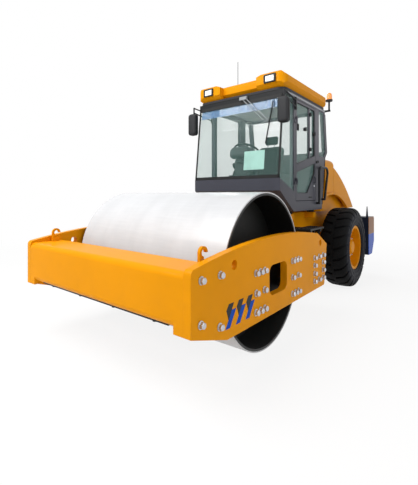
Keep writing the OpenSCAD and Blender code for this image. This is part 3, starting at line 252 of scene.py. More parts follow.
def glossPaint(name, code, roughness=0.3, peel=0.0004, dust=0.10, rubbedAndLitShare=0.30, coat=0.04):
    f = Finish(name)
    base = colourOf(code)
    cloudy = f.noise(1.6, 4.0)
    tone = f.blend(cloudy.upTo(0.35, 0.7), shade(base, 0.93), base)
    low = 1 - f.axis("Z").upTo(0.15, 1.1)
    grime = f.noise(7.0, 6.0).upTo(0.45, 0.75) * low * dust
    tone = f.blend(grime, tone, colourOf("6b5a44"))
    # paler copy of the paint in patches along the sharp edges: partly rubbed paint, partly painted edge highlight
    rubbedAndLitEdges = f.edges(0.006) * f.noise(28.0, 4.0).upTo(0.5, 0.72) * rubbedAndLitShare
    tone = f.blend(rubbedAndLitEdges, tone, shade(base, 1.25, 0.05))
    skin = f.bump(f.noise(420.0, 2.0), peel, 0.25, f.roundedNormal(0.007))
    return f.surface(Base_Color=tone, Roughness=grime * 2 + rubbedAndLitEdges * 0.4 + cloudy * 0.12 + (roughness - 0.05),
                     Normal=skin, Coat_Weight=coat, Coat_Roughness=0.08, Specular_IOR_Level=0.02)


def satinCoat(f, tone, rubbedAndLitTone, roughness):  # the rest of a satin paint, over a tone
    cloudy = f.noise(3.0, 5.0)
    # paler tone in patches along the sharp edges: partly rubbed paint, partly painted edge highlight
    rubbedAndLitEdges = f.edges(0.005) * f.noise(35.0, 4.0).upTo(0.52, 0.7) * 0.4
    tone = f.blend(cloudy.upTo(0.3, 0.75) * -0.12 + 0.12, tone, (0.0, 0.0, 0.0, 1))
    tone = f.blend(rubbedAndLitEdges, tone, rubbedAndLitTone)
    grain = f.bump(f.noise(650.0, 2.0), 0.0004, 0.35, f.roundedNormal(0.006))
    return f.surface(Base_Color=tone, Roughness=cloudy * 0.14 + (roughness - 0.06) + rubbedAndLitEdges * 0.2,
                     Normal=grain, Coat_Weight=0.05, Coat_Roughness=0.2, Specular_IOR_Level=0.16)


def satinPaint(name, code, roughness=0.42):
    base = colourOf(code)
    return satinCoat(Finish(name), base, shade(base, 1.6, 0.03), roughness)


def cabPaint(name, codes, bands):  # grey that pales up the posts, black over the windscreen
    f = Finish(name)
    x, z = f.axis("X"), f.axis("Z")
    tone = f.blend(z.upTo(*bands["pale"]), colourOf(codes["low"]), colourOf(codes["high"]))
    head = z.above(bands["head"][1]) * x.above(bands["head"][0])
    return satinCoat(f, f.blend(head, tone, colourOf(codes["head"])), colourOf(codes["rubbedAndLit"]), 0.42)


def weightPaint(name, codes, ends, split):  # dark weight whose end faces are blue below and, above, brownish painted shade streaked with painted reflection
    f = Finish(name)
    side = f.axis("Y").math("ABSOLUTE").above(ends)
    streak = f.noise(5.0, 4.0, (1, 1, 0.5)).upTo(0.3, 0.75)
    # brownish tones above the blue are painted shade, their streaks painted reflection
    paintedShadeAndSheen = f.blend(streak, colourOf(codes["shadeBrown"]), colourOf(codes["sheenBrown"]))
    tone = f.blend(f.axis("Z").above(split), colourOf(codes["blue"]), paintedShadeAndSheen)
    return satinCoat(f, f.blend(side, colourOf(codes["dark"]), tone), colourOf("4a4d55"), 0.4)


def wiperPaint(name, code, bladeCode, edge, slope):  # pale arms and a dark blade
    f = Finish(name)
    blade = (f.axis("Y") - f.axis("Z") * slope).above(edge)
    return satinCoat(f, f.blend(blade, colourOf(code), colourOf(bladeCode)), colourOf("c8cacc"), 0.4)


def mouldedPlastic(name, code, roughness=0.55):
    f = Finish(name)
    base = colourOf(code)
    cells = f.node("ShaderNodeTexVoronoi", {"feature": "F1"}, {"Vector": f.place, "Scale": 520.0},
                   out="Distance")
    cloudy = f.noise(6.0, 4.0)
    tone = f.blend(cloudy.upTo(0.3, 0.8), shade(base, 0.8), base)
    return f.surface(Base_Color=tone, Roughness=cloudy * 0.15 + (roughness - 0.07),
                     Normal=f.bump(cells, 0.0006, 0.4, f.roundedNormal(0.005)), Specular_IOR_Level=0.3)


def wovenCloth(name, code, darkCode, pitch=900.0):
    f = Finish(name)
    weft, warp = ((f.axis(a) * pitch).math("SINE") * 0.5 + 0.5 for a in ("Y", "X"))
    rise = (f.axis("Z") * pitch).math("SINE") * 0.5 + 0.5
    weave = weft * warp.math("MAXIMUM", rise)
    tone = f.blend(weave * 0.6 + f.noise(5.0, 4.0) * 0.4, colourOf(darkCode), colourOf(code))
    return f.surface(Base_Color=tone, Roughness=weave * 0.1 + 0.82, Normal=f.bump(weave, 0.0008, 0.5),
                     Sheen_Weight=0.2, Specular_IOR_Level=0.2)


def rubberFinish(name, code, roughness=0.78, scale=180.0):
    f = Finish(name)
    base = colourOf(code)
    dusty = f.noise(9.0, 6.0).upTo(0.48, 0.8)
    tone = f.blend(dusty * 0.35, base, colourOf("3b3a38"))
    return f.surface(Base_Color=tone, Roughness=dusty * 0.12 + (roughness - 0.06),
                     Normal=f.bump(f.noise(scale, 5.0), 0.0012, 0.5, f.roundedNormal(0.005)),
                     Specular_IOR_Level=0.25)


def bareMetal(name, code, roughness=0.3, brushed=(1, 1, 1), scale=60.0):
    f = Finish(name)
    base = colourOf(code)
    streak = f.noise(scale, 4.0, brushed)
    tone = f.blend(streak.upTo(0.3, 0.75), shade(base, 0.8), base)
    return f.surface(Base_Color=tone, Metallic=1.0, Roughness=streak * 0.2 + (roughness - 0.1),
                     Normal=f.bump(streak, 0.0002, 0.3, f.roundedNormal(0.003)))


def clearGlass(name, code, body=0.20, gloss=0.5):
    f = Finish(name)
    rim = f.node("ShaderNodeLayerWeight", None, {"Blend": 0.25}, out="Fresnel")
    smear = f.noise(2.2, 5.0, (1, 1, 0.35)).upTo(0.45, 0.8)
    return f.surface(Base_Color=colourOf(code), Roughness=smear * 0.05 + 0.02,
                     Alpha=(rim * gloss + smear * 0.03 + body).math("MINIMUM", 0.92),
                     Coat_Weight=0.4, Coat_Roughness=0.02)


def lensFinish(name, code, glow, ribs):
    f = Finish(name)
    base = colourOf(code)
    rib = f.node("ShaderNodeTexWave", {"wave_type": "BANDS", "bands_direction": "Y"},
                 {"Vector": f.place, "Scale": ribs, "Distortion": 0.0}, out="Fac")
    tone = f.blend(rib * 0.35, base, shade(base, 0.55))
    return f.surface(Base_Color=tone, Roughness=rib * 0.1 + 0.08, Coat_Weight=0.8, Coat_Roughness=0.03,
                     Emission_Color=base, Emission_Strength=glow,
                     Normal=f.bump(rib, 0.0015, 0.6))


def drumSteel(name, axle, shellRadius):  # pale painted shell; the dark within its ends is painted shade in the recess
    f = Finish(name)
    shell = f.radius(axle).above(shellRadius - 0.012)
    cloudy = f.noise(1.3, 5.0, (1, 3.0, 1))
    fine = f.noise(40.0, 4.0, (1, 0.08, 1))
    white = f.blend((cloudy * 0.7 + fine * 0.3).upTo(0.35, 0.7), colourOf("c6c7c9"), colourOf("d3d4d6"))
    # near-black within the drum ends is painted shade in the recess
    recessShade = f.blend(cloudy.upTo(0.3, 0.7), colourOf("0a0b0b"), colourOf("141615"))
    return f.surface(Base_Color=f.blend(shell, recessShade, white), Roughness=shell * -0.22 + fine * 0.12 + 0.5,
                     Normal=f.bump(fine, 0.0004, 0.3, f.roundedNormal(0.006)),
                     Coat_Weight=shell * 0.25, Coat_Roughness=0.15)


def tyreRubber(name, axle, shoulder):  # scuffed grey on the tread; dark sidewalls with fine rings, tinted blue as painted shade
    f = Finish(name)
    radius = f.radius(axle)
    tread = radius.upTo(shoulder - 0.02, shoulder + 0.01)
    dusty = f.noise(14.0, 6.0).upTo(0.42, 0.78)
    # the blue in the sidewall colours is a painted shadow tint
    shadeTintedWall = f.blend(dusty * 0.4, colourOf("0a0c15"), colourOf("191c26"))
    crown = f.blend(dusty * 0.5, colourOf("0d0d0e"), colourOf("1e1e1e"))
    rings = (radius * 520.0).math("SINE") * (1 - tread)
    return f.surface(Base_Color=f.blend(tread, shadeTintedWall, crown), Roughness=dusty * 0.15 + 0.52 + tread * 0.12,
                     Normal=f.bump(rings * 0.4 + f.noise(150.0, 4.0), 0.0012, 0.45, f.roundedNormal(0.004)),
                     Specular_IOR_Level=0.08)


finishes = {
    "yellow": glossPaint("yellowPaint", "e9980c"),
    "grey": cabPaint("cabGreyPaint",
                     {"low": "45464f", "high": "6a6870", "head": "191a1c", "rubbedAndLit": "8d8e96"},
                     {"pale": (1.95, 2.7), "head": (0.30, 2.945)}),
    "black": satinPaint("blackPaint", "1b1c1e", 0.38),
    "weight": weightPaint("weightPaint", {"dark": "1b2334", "blue": "1c52bd", "shadeBrown": "84512a",
                                          "sheenBrown": "93602f"}, 1.044, 0.79),
    "wiper": wiperPaint("wiperPaint", "9fa3a6", "1a1b1d", 0.1526, 0.1414),
    "blue": glossPaint("bluePaint", "1a4fb4", dust=0.06),
    "plastic": mouldedPlastic("blackPlastic", "212225"),
    "paleGrey": satinPaint("gutterPaint", "b4b7bb"),
    "lining": mouldedPlastic("liningPlastic", "a9b2b3", 0.7),
    "console": mouldedPlastic("consolePlastic", "3a4142", 0.6),
    "rubber": rubberFinish("damperRubber", "17181a"),
    "seal": rubberFinish("sealRubber", "0e0f10", 0.6),
    "zinc": bareMetal("zincPlate", "c9cbd2", 0.32),
    "chrome": bareMetal("rodChrome", "d5d7da", 0.12, (0.05, 1, 1), 30.0),
    "mirror": bareMetal("mirrorGlass", "c4d2d4", 0.13),
    "glass": clearGlass("paleGlass", "93c2b8", 0.07, 0.22),
    "sunBand": clearGlass("sunBand", "6f95cf", 0.5, 0.3),
    "screen": lensFinish("gaugeScreen", "10202a", 0.0, 20.0),
    "seat": wovenCloth("seatCloth", "3a3f40", "262a2b"),
    "card": mouldedPlastic("cardPaper", "c4efe3", 0.8),
    "amber": lensFinish("amberLens", "f08c06", 0.25, 60.0),
    "red": lensFinish("redLens", "b3170f", 0.15, 70.0),
    "clear": lensFinish("lampLens", "f2f3f2", 0.35, 70.0),
    "drum": drumSteel("drumPaint", (1.7, 0.8), 0.8),
    "tyre": tyreRubber("tyreRubber", (-1.46, 0.675), 0.60),
}

nodeFinishes = {
    "yellow": ["side_plate_left", "side_plate_right", "front_beam", "rear_beam", "hitch", "rear_frame",
               "cowl", "cab_roof", "hood", "rim_left", "rim_right"],
    "grey": ["cab_base", "cab_frame", "door"],
    "black": ["scrapers", "drum_carriers", "rear_axle", "engine", "steering_barrels", "handrails", "steps",
              "hood_grilles"],
    "weight": ["counterweight"],
    "wiper": ["wiper"],
    "console": ["console"],
    "plastic": ["roof_trim", "roof_lamps", "steering_wheel", "mirrors", "antenna", "seat"],
    "rubber": ["drum_dampers", "cab_mounts"],
    "chrome": ["steering_rod_left", "steering_rod_right"],
    "glass": ["windscreen", "quarter_glass", "side_glass", "rear_glass", "door_glass"],
    "amber": ["beacon"],
    "red": ["tail_lamps"],
    "drum": ["drum"],
    "tyre": ["tyre_left", "tyre_right"],
}


def paintNodes(plan):
    for finish, names in plan.items():
        for name in names:
            for slot in cad[name].material_slots:
                slot.material = finishes[finish]


paintNodes(nodeFinishes)
print("finishes made:", len(finishes))


# Small tools for making pieces

class Shape:  # a mesh that grows by simple solids
    def __init__(self):
        self.bm = bmesh.new()

    def box(self, low, high, turn=Matrix()):
        low, high = Vector(low), Vector(high)
        made = bmesh.ops.create_cube(self.bm, size=1.0)["verts"]
        bmesh.ops.transform(self.bm, verts=made, matrix=Matrix.Translation((low + high) / 2) @ turn
                            @ Matrix.Diagonal((*(high - low), 1)))
        return self

    def loops(self, rings, shut=True):  # rings of equal length joined one after another, the ends closed
        made = [[self.bm.verts.new(c) for c in ring] for ring in rings]
        for a, b in zip(made, made[1:]) if shut else zip(made, made[1:] + made[:1]):
            for k in range(len(a)):
                m = (k + 1) % len(a)
                self.bm.faces.new((a[k], a[m], b[m], b[k]))
        if shut:
            self.bm.faces.new(list(reversed(made[0])))
            self.bm.faces.new(made[-1])
        return self

    def prism(self, outline, frameOf, low, high):  # outline pushed along its plane's normal
        return self.loops([[frameOf @ Vector((u, v, h)) for u, v in outline] for h in (low, high)])

    def lathe(self, profile, frameOf, steps):  # profile of (radius, height) turned round the frame's Z
        turns = [2 * math.pi * k / steps for k in range(steps)]
        rings = []
        for radius, height in profile:
            around = [(radius * math.cos(t), radius * math.sin(t), height) for t in (turns if radius else [0])]
            rings.append([self.bm.verts.new(frameOf @ Vector(c)) for c in around])
        for a, b in zip(rings, rings[1:]):
            for k in range(steps):
                corners = [a[k % len(a)], a[(k + 1) % len(a)], b[(k + 1) % len(b)], b[k % len(b)]]
                self.bm.faces.new([c for i, c in enumerate(corners) if c not in corners[:i]])
        return self

    def tube(self, path, radius, steps=12, closed=False):
        points = [Vector(p) for p in path]
        rings, side = [], None
        for i, p in enumerate(points):
            before = points[i - 1] if i or closed else p
            after = points[(i + 1) % len(points)] if i + 1 < len(points) or closed else p
            along = ((p - before).normalized() + (after - p).normalized()).normalized()
            if side is None:
                side = along.orthogonal().normalized()
            side = (side - along * side.dot(along)).normalized()
            other = along.cross(side)
            rings.append([p + radius * (math.cos(t) * side + math.sin(t) * other)
                          for t in (2 * math.pi * k / steps for k in range(steps))])
        return self.loops(rings, shut=not closed)

    def ring(self, outer, inner, frameOf, low, high):  # flat frame between two outlines
        lines = ((outer, low), (outer, high), (inner, high), (inner, low))
        return self.loops([[frameOf @ Vector((u, v, h)) for u, v in line] for line, h in lines], shut=False)

    def crown(self, size, radius, frameOf, low, high, inset, edge=0.0, steps=5):  # pad rounded at its rim
        rings = [[frameOf @ Vector((u, v, low)) for u, v in roundedOutline(*size, radius)]]
        for k in range(steps + 1):
            t = math.radians(90 * k / steps)
            shrink, h = inset * (1 - math.cos(t)), low + edge + (high - low - edge) * math.sin(t)
            line = roundedOutline(size[0] - 2 * shrink, size[1] - 2 * shrink, max(radius - shrink, 0.002))
            rings.append([frameOf @ Vector((u, v, h)) for u, v in line])
        return self.loops(rings)

    def piece(self, name, body, finish, slot=None, **settings):
        bmesh.ops.remove_doubles(self.bm, verts=self.bm.verts, dist=1e-5)
        bmesh.ops.recalc_face_normals(self.bm, faces=self.bm.faces)
        mesh = bpy.data.meshes.new(name)
        self.bm.to_mesh(mesh)
        self.bm.free()
        return settle(mesh, name, body, finish, slot, **settings)


def addBevel(made, width, segments, angle):
    edge = made.modifiers.new("edge", "BEVEL")
    edge.width, edge.segments, edge.limit_method = width, segments, "ANGLE"
    edge.angle_limit = math.radians(angle)


def finalMesh(made):  # the mesh that an object's modifiers give
    return bpy.data.meshes.new_from_object(made.evaluated_get(bpy.context.evaluated_depsgraph_get()))


def applyModifiers(made):
    mesh = finalMesh(made)
    made.modifiers.clear()
    made.data = mesh


def settle(mesh, name, body, finish=None, slot=None, bevel=0.0, segments=2, smooth=35.0):
    made = addObject(name, mesh)
    if finish:
        mesh.materials.clear()
        mesh.materials.append(finishes[finish])
    if bevel:
        addBevel(made, bevel, segments, 35)
        applyModifiers(made)
    made.data.set_sharp_from_angle(angle=math.radians(smooth))
    for face in made.data.polygons:
        face.use_smooth = True
    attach(made, body)
    return made


def facing(origin, normal, up=(0, 0, 1)):  # frame with Z along the normal and Y near up
    n = Vector(normal).normalized()
    u = Vector(up)
    level = u if abs(u.normalized().dot(n)) < 0.99 else Vector((1, 0, 0))
    x = level.cross(n).normalized()
    return Matrix.Translation(origin) @ Matrix((x, n.cross(x), n)).transposed().to_4x4()


def roundedOutline(width, height, radius, steps=6):
    out = []
    for cx, cy, start in ((1, 1, 0), (-1, 1, 90), (-1, -1, 180), (1, -1, 270)):
        for k in range(steps + 1):
            t = math.radians(start + 90 * k / steps)
            out.append((cx * (width / 2 - radius) + radius * math.cos(t),
                        cy * (height / 2 - radius) + radius * math.sin(t)))
    return out


def roundPath(points, radius, steps=5):  # closed outline with its corners rounded off
    out = []
    for k, here in enumerate(points):
        here, before, after = Vector(here), Vector(points[k - 1]), Vector(points[(k + 1) % len(points)])
        back, ahead = (before - here), (after - here)
        reach = min(radius, back.length * 0.45, ahead.length * 0.45)
        a, b = here + back.normalized() * reach, here + ahead.normalized() * reach
        for i in range(steps + 1):
            t = i / steps
            out.append(tuple(a * (1 - t) ** 2 + here * 2 * t * (1 - t) + b * t ** 2))
    return out


# Repeats by Geometry Nodes

class Repeat(Nodes):  # a node group that sets copies of a part on points and gives them a finish
    def __init__(self, name, inputs):
        self.tree = bpy.data.node_groups.new(name, "GeometryNodeTree")
        face = self.tree.interface
        for label, kind in inputs.items():
            face.new_socket(label, in_out="INPUT", socket_type="NodeSocket" + kind)
        face.new_socket("Copies", in_out="OUTPUT", socket_type="NodeSocketGeometry")
        entry = self.tree.nodes.new("NodeGroupInput")
        self.entry = {label: Wire(self.tree, entry.outputs[label]) for label in inputs}

    def stored(self, name, kind):
        return self.node("GeometryNodeInputNamedAttribute", {"data_type": kind}, {"Name": name}, "Attribute")

    def turn(self, axis, angle):
        return self.node("FunctionNodeAxisAngleToRotation", None, {"Axis": axis, "Angle": angle})

    def copies(self, part, points, rotation):
        placed = self.node("GeometryNodeInstanceOnPoints", None,
                           {"Points": points, "Instance": part, "Rotation": rotation})
        real = self.node("GeometryNodeRealizeInstances", None, {0: placed})
        coated = self.node("GeometryNodeSetMaterial", None,
                           {"Geometry": real, "Material": self.entry["Finish"]})
        self.node("NodeGroupOutput", None, {"Copies": coated})
        return self

    def run(self, made, values):  # the copies as one mesh; the object they came from goes
        nodes = made.modifiers.new("repeat", "NODES")
        nodes.node_group = self.tree
        for item in self.tree.interface.items_tree:
            if item.in_out == "INPUT" and item.name in values:
                nodes[item.identifier] = values[item.name]
        real = finalMesh(made)
        bpy.data.objects.remove(made)
        return real


boltForm = {
    "cornerShare": 0.577,       # corner radius over the width across flats
    "bodyShare": 0.8, "capShare": 0.2, "capTop": 0.84, "washerShare": 0.22, "washerSteps": 20,
    "turn": (2.399, 1.047),     # step from head to head, and the sixth of a turn it stays under, in radians
}


def boltTree(p):
    repeat = Repeat("boltHeads", {"Spots": "Geometry", "Across flats": "Float", "Head height": "Float",
                                  "Washer width": "Float", "Washer height": "Float", "Finish": "Material"})
    across, head, width, washer = (
        repeat.entry[k] for k in ("Across flats", "Head height", "Washer width", "Washer height"))

    def solid(kind, vertices, inputs, lift):
        made = repeat.node("GeometryNodeMesh" + kind, {"fill_type": "NGON"}, {"Vertices": vertices, **inputs}, "Mesh")
        up = repeat.node("ShaderNodeCombineXYZ", None, {"Z": lift})
        return repeat.node("GeometryNodeTransform", None, {"Geometry": made, "Translation": up})

    corner, body, cap = across * p["cornerShare"], head * p["bodyShare"], head * p["capShare"]
    disc = solid("Cylinder", p["washerSteps"], {"Radius": width * 0.5, "Depth": washer}, washer * 0.5)
    hexagon = solid("Cylinder", 6, {"Radius": corner, "Depth": body}, washer + body * 0.5)
    crown = solid("Cone", 6, {"Radius Bottom": corner, "Radius Top": corner * p["capTop"], "Depth": cap},
                  washer + body)
    join = repeat.tree.nodes.new("GeometryNodeJoinGeometry")
    for part in (crown, hexagon, disc):
        plug(repeat.tree, join.inputs[0], part)
    aim = repeat.node("FunctionNodeAlignRotationToVector", {"axis": "Z"},
                      {"Vector": repeat.stored("outward", "FLOAT_VECTOR")})
    spin = repeat.turn((0, 0, 1), repeat.stored("spin", "FLOAT"))
    both = repeat.node("FunctionNodeRotateRotation", {"rotation_space": "LOCAL"},
                       {"Rotation": aim, "Rotate By": spin})
    return repeat.copies(Wire(repeat.tree, join.outputs[0]), repeat.entry["Spots"], both)


boltHeads = boltTree(boltForm)


def boltSet(name, body, spots, head, finish="zinc"):
    mesh = bpy.data.meshes.new(name)
    mesh.from_pydata([place for place, out in spots], [], [])
    mesh.attributes.new("outward", "FLOAT_VECTOR", "POINT")
    mesh.attributes.new("spin", "FLOAT", "POINT")
    step, sixth = boltForm["turn"]
    for k, (place, out) in enumerate(spots):
        mesh.attributes["outward"].data[k].vector = out
        mesh.attributes["spin"].data[k].value = (k * step) % sixth
    across, height, washer = head
    values = {"Across flats": across, "Head height": height, "Washer width": washer,
              "Washer height": height * boltForm["washerShare"], "Finish": finishes[finish]}
    return settle(boltHeads.run(addObject(name, mesh), values), name, body, smooth=30)


plateBolts = {
    "face": 1.215,
    "drum": 1.7,
    "spots": [(1.286, 0.959), (1.051, 0.958), (1.293, 0.645), (1.058, 0.564),
              (0.500, 0.877), (0.420, 0.877), (0.340, 0.877), (0.495, 0.700), (0.343, 0.700),
              (0.500, 0.530), (0.420, 0.530), (0.340, 0.530),
              (-0.280, 0.873), (-0.360, 0.873), (-0.440, 0.873), (-0.284, 0.700), (-0.430, 0.700),
              (-0.280, 0.527), (-0.360, 0.527), (-0.440, 0.527),
              (-0.920, 0.817), (-1.070, 0.817), (-1.210, 0.817), (-0.920, 0.727), (-1.210, 0.727),
              (-0.920, 0.630), (-1.210, 0.630), (-0.920, 0.535), (-1.070, 0.535), (-1.210, 0.535)],
    "head": (0.046, 0.03, 0.064),  # across flats, height, washer
}


def makeBolts(p):
    spots = []
    for side in (1, -1):
        spots += [((p["drum"] + x, side * p["face"], z), (0, side, 0)) for x, z in p["spots"]]
    boltSet("plateBolts", "front", spots, p["head"])


makeBolts(plateBolts)

wheelNuts = {
    "axle": (-1.46, 0.675),
    "rings": [  # name, distance from the middle, radius, count, first angle, head
        ("_nuts", 0.921, 0.192, 12, 0.0, (0.034, 0.028, 0.044)),
        ("_hubBolts", 1.025, 0.15, 8, 22.5, (0.019, 0.012, 0.024)),
    ],
}


def makeWheelNuts(p):
    x, z = p["axle"]
    for body, side in (("wheel_left", 1), ("wheel_right", -1)):
        for name, out, radius, count, start, head in p["rings"]:
            spots = []
            for k in range(count):
                t = math.radians(start + 360 * k / count)
                spots.append(((x + radius * math.cos(t), side * out, z + radius * math.sin(t)), (0, side, 0)))
            boltSet(body + name, body, spots, head)


makeWheelNuts(wheelNuts)
print("bolts set")


# Stripes on the side plates

plateStripes = {
    "face": 1.215, "rise": (-0.0005, 0.0012), "first": 2.678, "pitch": 0.151, "count": 3,
    "blue": [(0, 0.515), (-0.065, 0.515), (-0.157, 0.652), (-0.092, 0.652)],
    "black": [(-0.049, 0.706), (-0.014, 0.659), (-0.044, 0.580), (-0.092, 0.652), (-0.123, 0.706)],
}


def makeStripes(p):
    for colour in ("blue", "black"):
        shape = Shape()
        for side in (1, -1):
            flat = facing((0, side * p["face"], 0), (0, side, 0))
            for k in range(p["count"]):
                x = p["first"] - k * p["pitch"]
                shape.prism([(-side * (x + u), v) for u, v in p[colour]], flat, *p["rise"])
        shape.piece(colour + "Stripes", "front", colour)


makeStripes(plateStripes)


# Windscreen: sun band, card behind it and dark border

cabGlass = {
    "foot": (0.65, 1.80), "top": (0.52, 2.95), "halfWidth": 0.716,
    "band": {"inset": 0.04, "drop": 0.045, "height": 0.13, "off": (-0.013, -0.011)},
    "card": {"y": (0.15, 0.47), "z": (1.925, 2.195), "off": (-0.014, -0.011), "edge": 0.001},
    "border": {"foot": 0.045, "top": 0.055, "side": 0.03, "off": (0.0006, 0.0022)},
}


def makeScreenParts(p):
    (x0, low), (x1, top), half = p["foot"], p["top"], p["halfWidth"]

    def strip(shape, y, z, off):  # along the sloping glass, between two distances from its face
        corners = ((y[0], z[0]), (y[1], z[0]), (y[1], z[1]), (y[0], z[1]))
        return shape.loops([[(x0 + (x1 - x0) * (v - low) / (top - low) + away, u, v) for u, v in corners]
                            for away in off])

    band, card, border = p["band"], p["card"], p["border"]
    wide, high = half - band["inset"], top - band["drop"]
    strip(Shape(), (-wide, wide), (high - band["height"], high), band["off"]
          ).piece("sunBand", "chassis", "sunBand", "glass")
    strip(Shape(), card["y"], card["z"], card["off"]
          ).piece("screenCard", "chassis", "card", bevel=card["edge"], segments=1)
    dark = Shape()
    inner = half - border["side"]
    for y, z in (((-half, half), (low, low + border["foot"])), ((-half, half), (top - border["top"], top)),
                 ((-half, -inner), (low, top)), ((inner, half), (low, top))):
        strip(dark, y, z, border["off"])
    dark.piece("screenBorder", "chassis", "seal")


makeScreenParts(cabGlass)
print("cab glass dressed")


# Lamps, mirrors and beacon

roofLamps = {"face": 0.56, "side": 0.524, "middle": 3.180, "size": (0.175, 0.116), "corner": 0.012,
             "lens": (0.130, 0.082), "lensCorner": 0.008, "bezelRise": (-0.002, 0.010), "edge": 0.002,
             "lensRise": (-0.001, 0.006, 0.012)}


def makeRoofLamps(p):
    bezels, lenses = Shape(), Shape()
    for side in (1, -1):
        at = facing((p["face"], side * p["side"], p["middle"]), (1, 0, 0))
        bezels.ring(roundedOutline(*p["size"], p["corner"]), roundedOutline(*p["lens"], p["lensCorner"]),
                    at, *p["bezelRise"])
        lenses.crown(p["lens"], p["lensCorner"], at, *p["lensRise"])
    bezels.piece("lampBezels", "chassis", "plastic", "black_plastic", bevel=p["edge"])
    lenses.piece("lampLenses", "chassis", "clear", "clear_lens")


makeRoofLamps(roofLamps)

mirrorParts = {"x": (0.615, 0.665), "side": 0.765, "middle": 2.695, "size": (0.150, 0.340), "corner": 0.045,
               "rim": 0.009, "rimRise": (-0.002, 0.007), "backRise": (-0.012, 0.024, 0.034, 0.010, 6),
               "paneRise": (-0.001, 0.003, 0.01), "smooth": 40}


def makeMirrors(p):
    backs, panes = Shape(), Shape()
    inner = [s - 2 * p["rim"] for s in p["size"]]
    innerCorner = p["corner"] - p["rim"]
    for side in (1, -1):
        spot = (side * p["side"], p["middle"])
        backs.crown(p["size"], p["corner"], facing((p["x"][1], *spot), (1, 0, 0)), *p["backRise"])
        front = facing((p["x"][0], *spot), (-1, 0, 0))
        backs.ring(roundedOutline(*p["size"], p["corner"]), roundedOutline(*inner, innerCorner),
                   front, *p["rimRise"])
        panes.crown(inner, innerCorner, front, *p["paneRise"])
    backs.piece("mirrorShells", "chassis", "plastic", "black_plastic", smooth=p["smooth"])
    panes.piece("mirrorPanes", "chassis", "mirror", smooth=p["smooth"])


makeMirrors(mirrorParts)

beaconParts = {
    "place": (-1.227, 0.745, 3.205), "steps": 40, "smooth": 50,
    "dome": [(0, 0.001), (0.053, 0.001), (0.053, 0.013), (0.0495, 0.017), (0.0485, 0.045), (0.0475, 0.078),
             (0.045, 0.098), (0.039, 0.114), (0.028, 0.125), (0.014, 0.129), (0, 0.130)],
    "collar": [(0.0535, 0.0), (0.0562, 0.0), (0.0562, 0.012), (0.0535, 0.014), (0.0535, 0.0)],
}


def makeBeacon(p):
    at = facing(p["place"], (0, 0, 1), (1, 0, 0))
    dome = Shape().lathe(p["dome"], at, p["steps"]
                         ).piece("beaconDome", "chassis", "amber", "amber_lens", smooth=p["smooth"])
    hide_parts("beacon")
    Shape().lathe(p["collar"], at, p["steps"]).piece("beaconCollar", "chassis", "plastic", "black_plastic")


makeBeacon(beaconParts)
print("lamps, mirrors and beacon dressed")


# Door: middle bar, latches, seals, recess and lock; plugs on the post behind it

doorParts = {
    "glassFace": 0.7025, "outside": 0.72,
    "bar": {"low": (-0.440, 0.684, 2.125), "high": (-0.376, 0.714, 2.920), "edge": 0.006},
    "latches": [(-0.408, 2.817), (-0.211, 2.563), (-0.585, 2.541), (-0.408, 2.277)],
    "knob": [(0, -0.004), (0.024, -0.004), (0.024, 0.010), (0.031, 0.013), (0.031, 0.026), (0.026, 0.032),
             (0, 0.033)],
    "toggle": {"half": (0.008, 0.027), "y": (0.031, 0.041)},
    "hinge": {"low": (0.000, 2.512), "high": (0.062, 2.612), "y": (-0.003, 0.012),
              "pin": 0.025, "edge": 0.0015},
    "hingePin": [(0, 0.010), (0.012, 0.010), (0.012, 0.016), (0.009, 0.019), (0, 0.019)],
    "panes": [[(0.099, 1.597), (-0.300, 1.597), (-0.614, 1.923), (-0.614, 2.078), (0.099, 1.902)],
              [(0.099, 2.017), (-0.614, 2.193), (-0.614, 2.914), (0.099, 2.914)]],
    "seal": {"radius": 0.008, "corner": 0.05, "out": 0.004, "steps": 10},
    "recess": {"middle": (-0.425, 1.535), "size": (0.150, 0.026), "corner": 0.012,
               "rise": (-0.004, 0.002, 0.004)},
    "lock": (-0.578, 1.715),
    "lockTurned": [(0, -0.004), (0.017, -0.004), (0.017, 0.006), (0.013, 0.010), (0.006, 0.010),
                   (0.006, 0.007), (0, 0.007)],
    "plugs": [(-0.690, 2.100), (-0.752, 2.112)],
    "plugTurned": [(0, -0.003), (0.022, -0.003), (0.022, 0.008), (0.016, 0.014), (0, 0.015)],
    "knobSteps": 28, "pinSteps": 16, "plugSteps": 24,
}


def makeDoor(p):
    face = p["glassFace"]

    def outward(x, z, y):
        return facing((x, y, z), (0, 1, 0))

    bar = p["bar"]
    Shape().box(bar["low"], bar["high"]).piece("doorBar", "door", "grey", "grey_paint", bevel=bar["edge"])
    black = Shape()
    (halfX, halfZ), (y0, y1) = p["toggle"]["half"], p["toggle"]["y"]
    for x, z in p["latches"]:
        black.lathe(p["knob"], outward(x, z, face), p["knobSteps"])
        black.box((x - halfX, face + y0, z - halfZ), (x + halfX, face + y1, z + halfZ))
    hinge = p["hinge"]
    (x0, z0), (x1, z1), (y0, y1) = hinge["low"], hinge["high"], hinge["y"]
    black.box((x0, face + y0, z0), (x1, face + y1, z1))
    for z in (z0 + hinge["pin"], z1 - hinge["pin"]):
        black.lathe(p["hingePin"], outward((x0 + x1) / 2, z, face), p["pinSteps"])
    black.piece("paneLatches", "door", "plastic", "black_plastic", bevel=hinge["edge"], segments=1)
    seals, seal, recess = Shape(), p["seal"], p["recess"]
    for pane in p["panes"]:
        path = [(x, face + seal["out"], z) for x, z in roundPath(pane, seal["corner"])]
        seals.tube(path, seal["radius"], seal["steps"], closed=True)
    seals.crown(recess["size"], recess["corner"], outward(*recess["middle"], p["outside"]), *recess["rise"])
    seals.piece("doorSeals", "door", "seal", "rubber")
    Shape().lathe(p["lockTurned"], outward(*p["lock"], p["outside"]), p["plugSteps"]
                  ).piece("doorLock", "door", "zinc")
    plugs = Shape()
    for x, z in p["plugs"]:
        plugs.lathe(p["plugTurned"], outward(x, z, p["outside"]), p["plugSteps"])
    plugs.piece("postPlugs", "chassis", "plastic", "black_plastic")


makeDoor(doorParts)

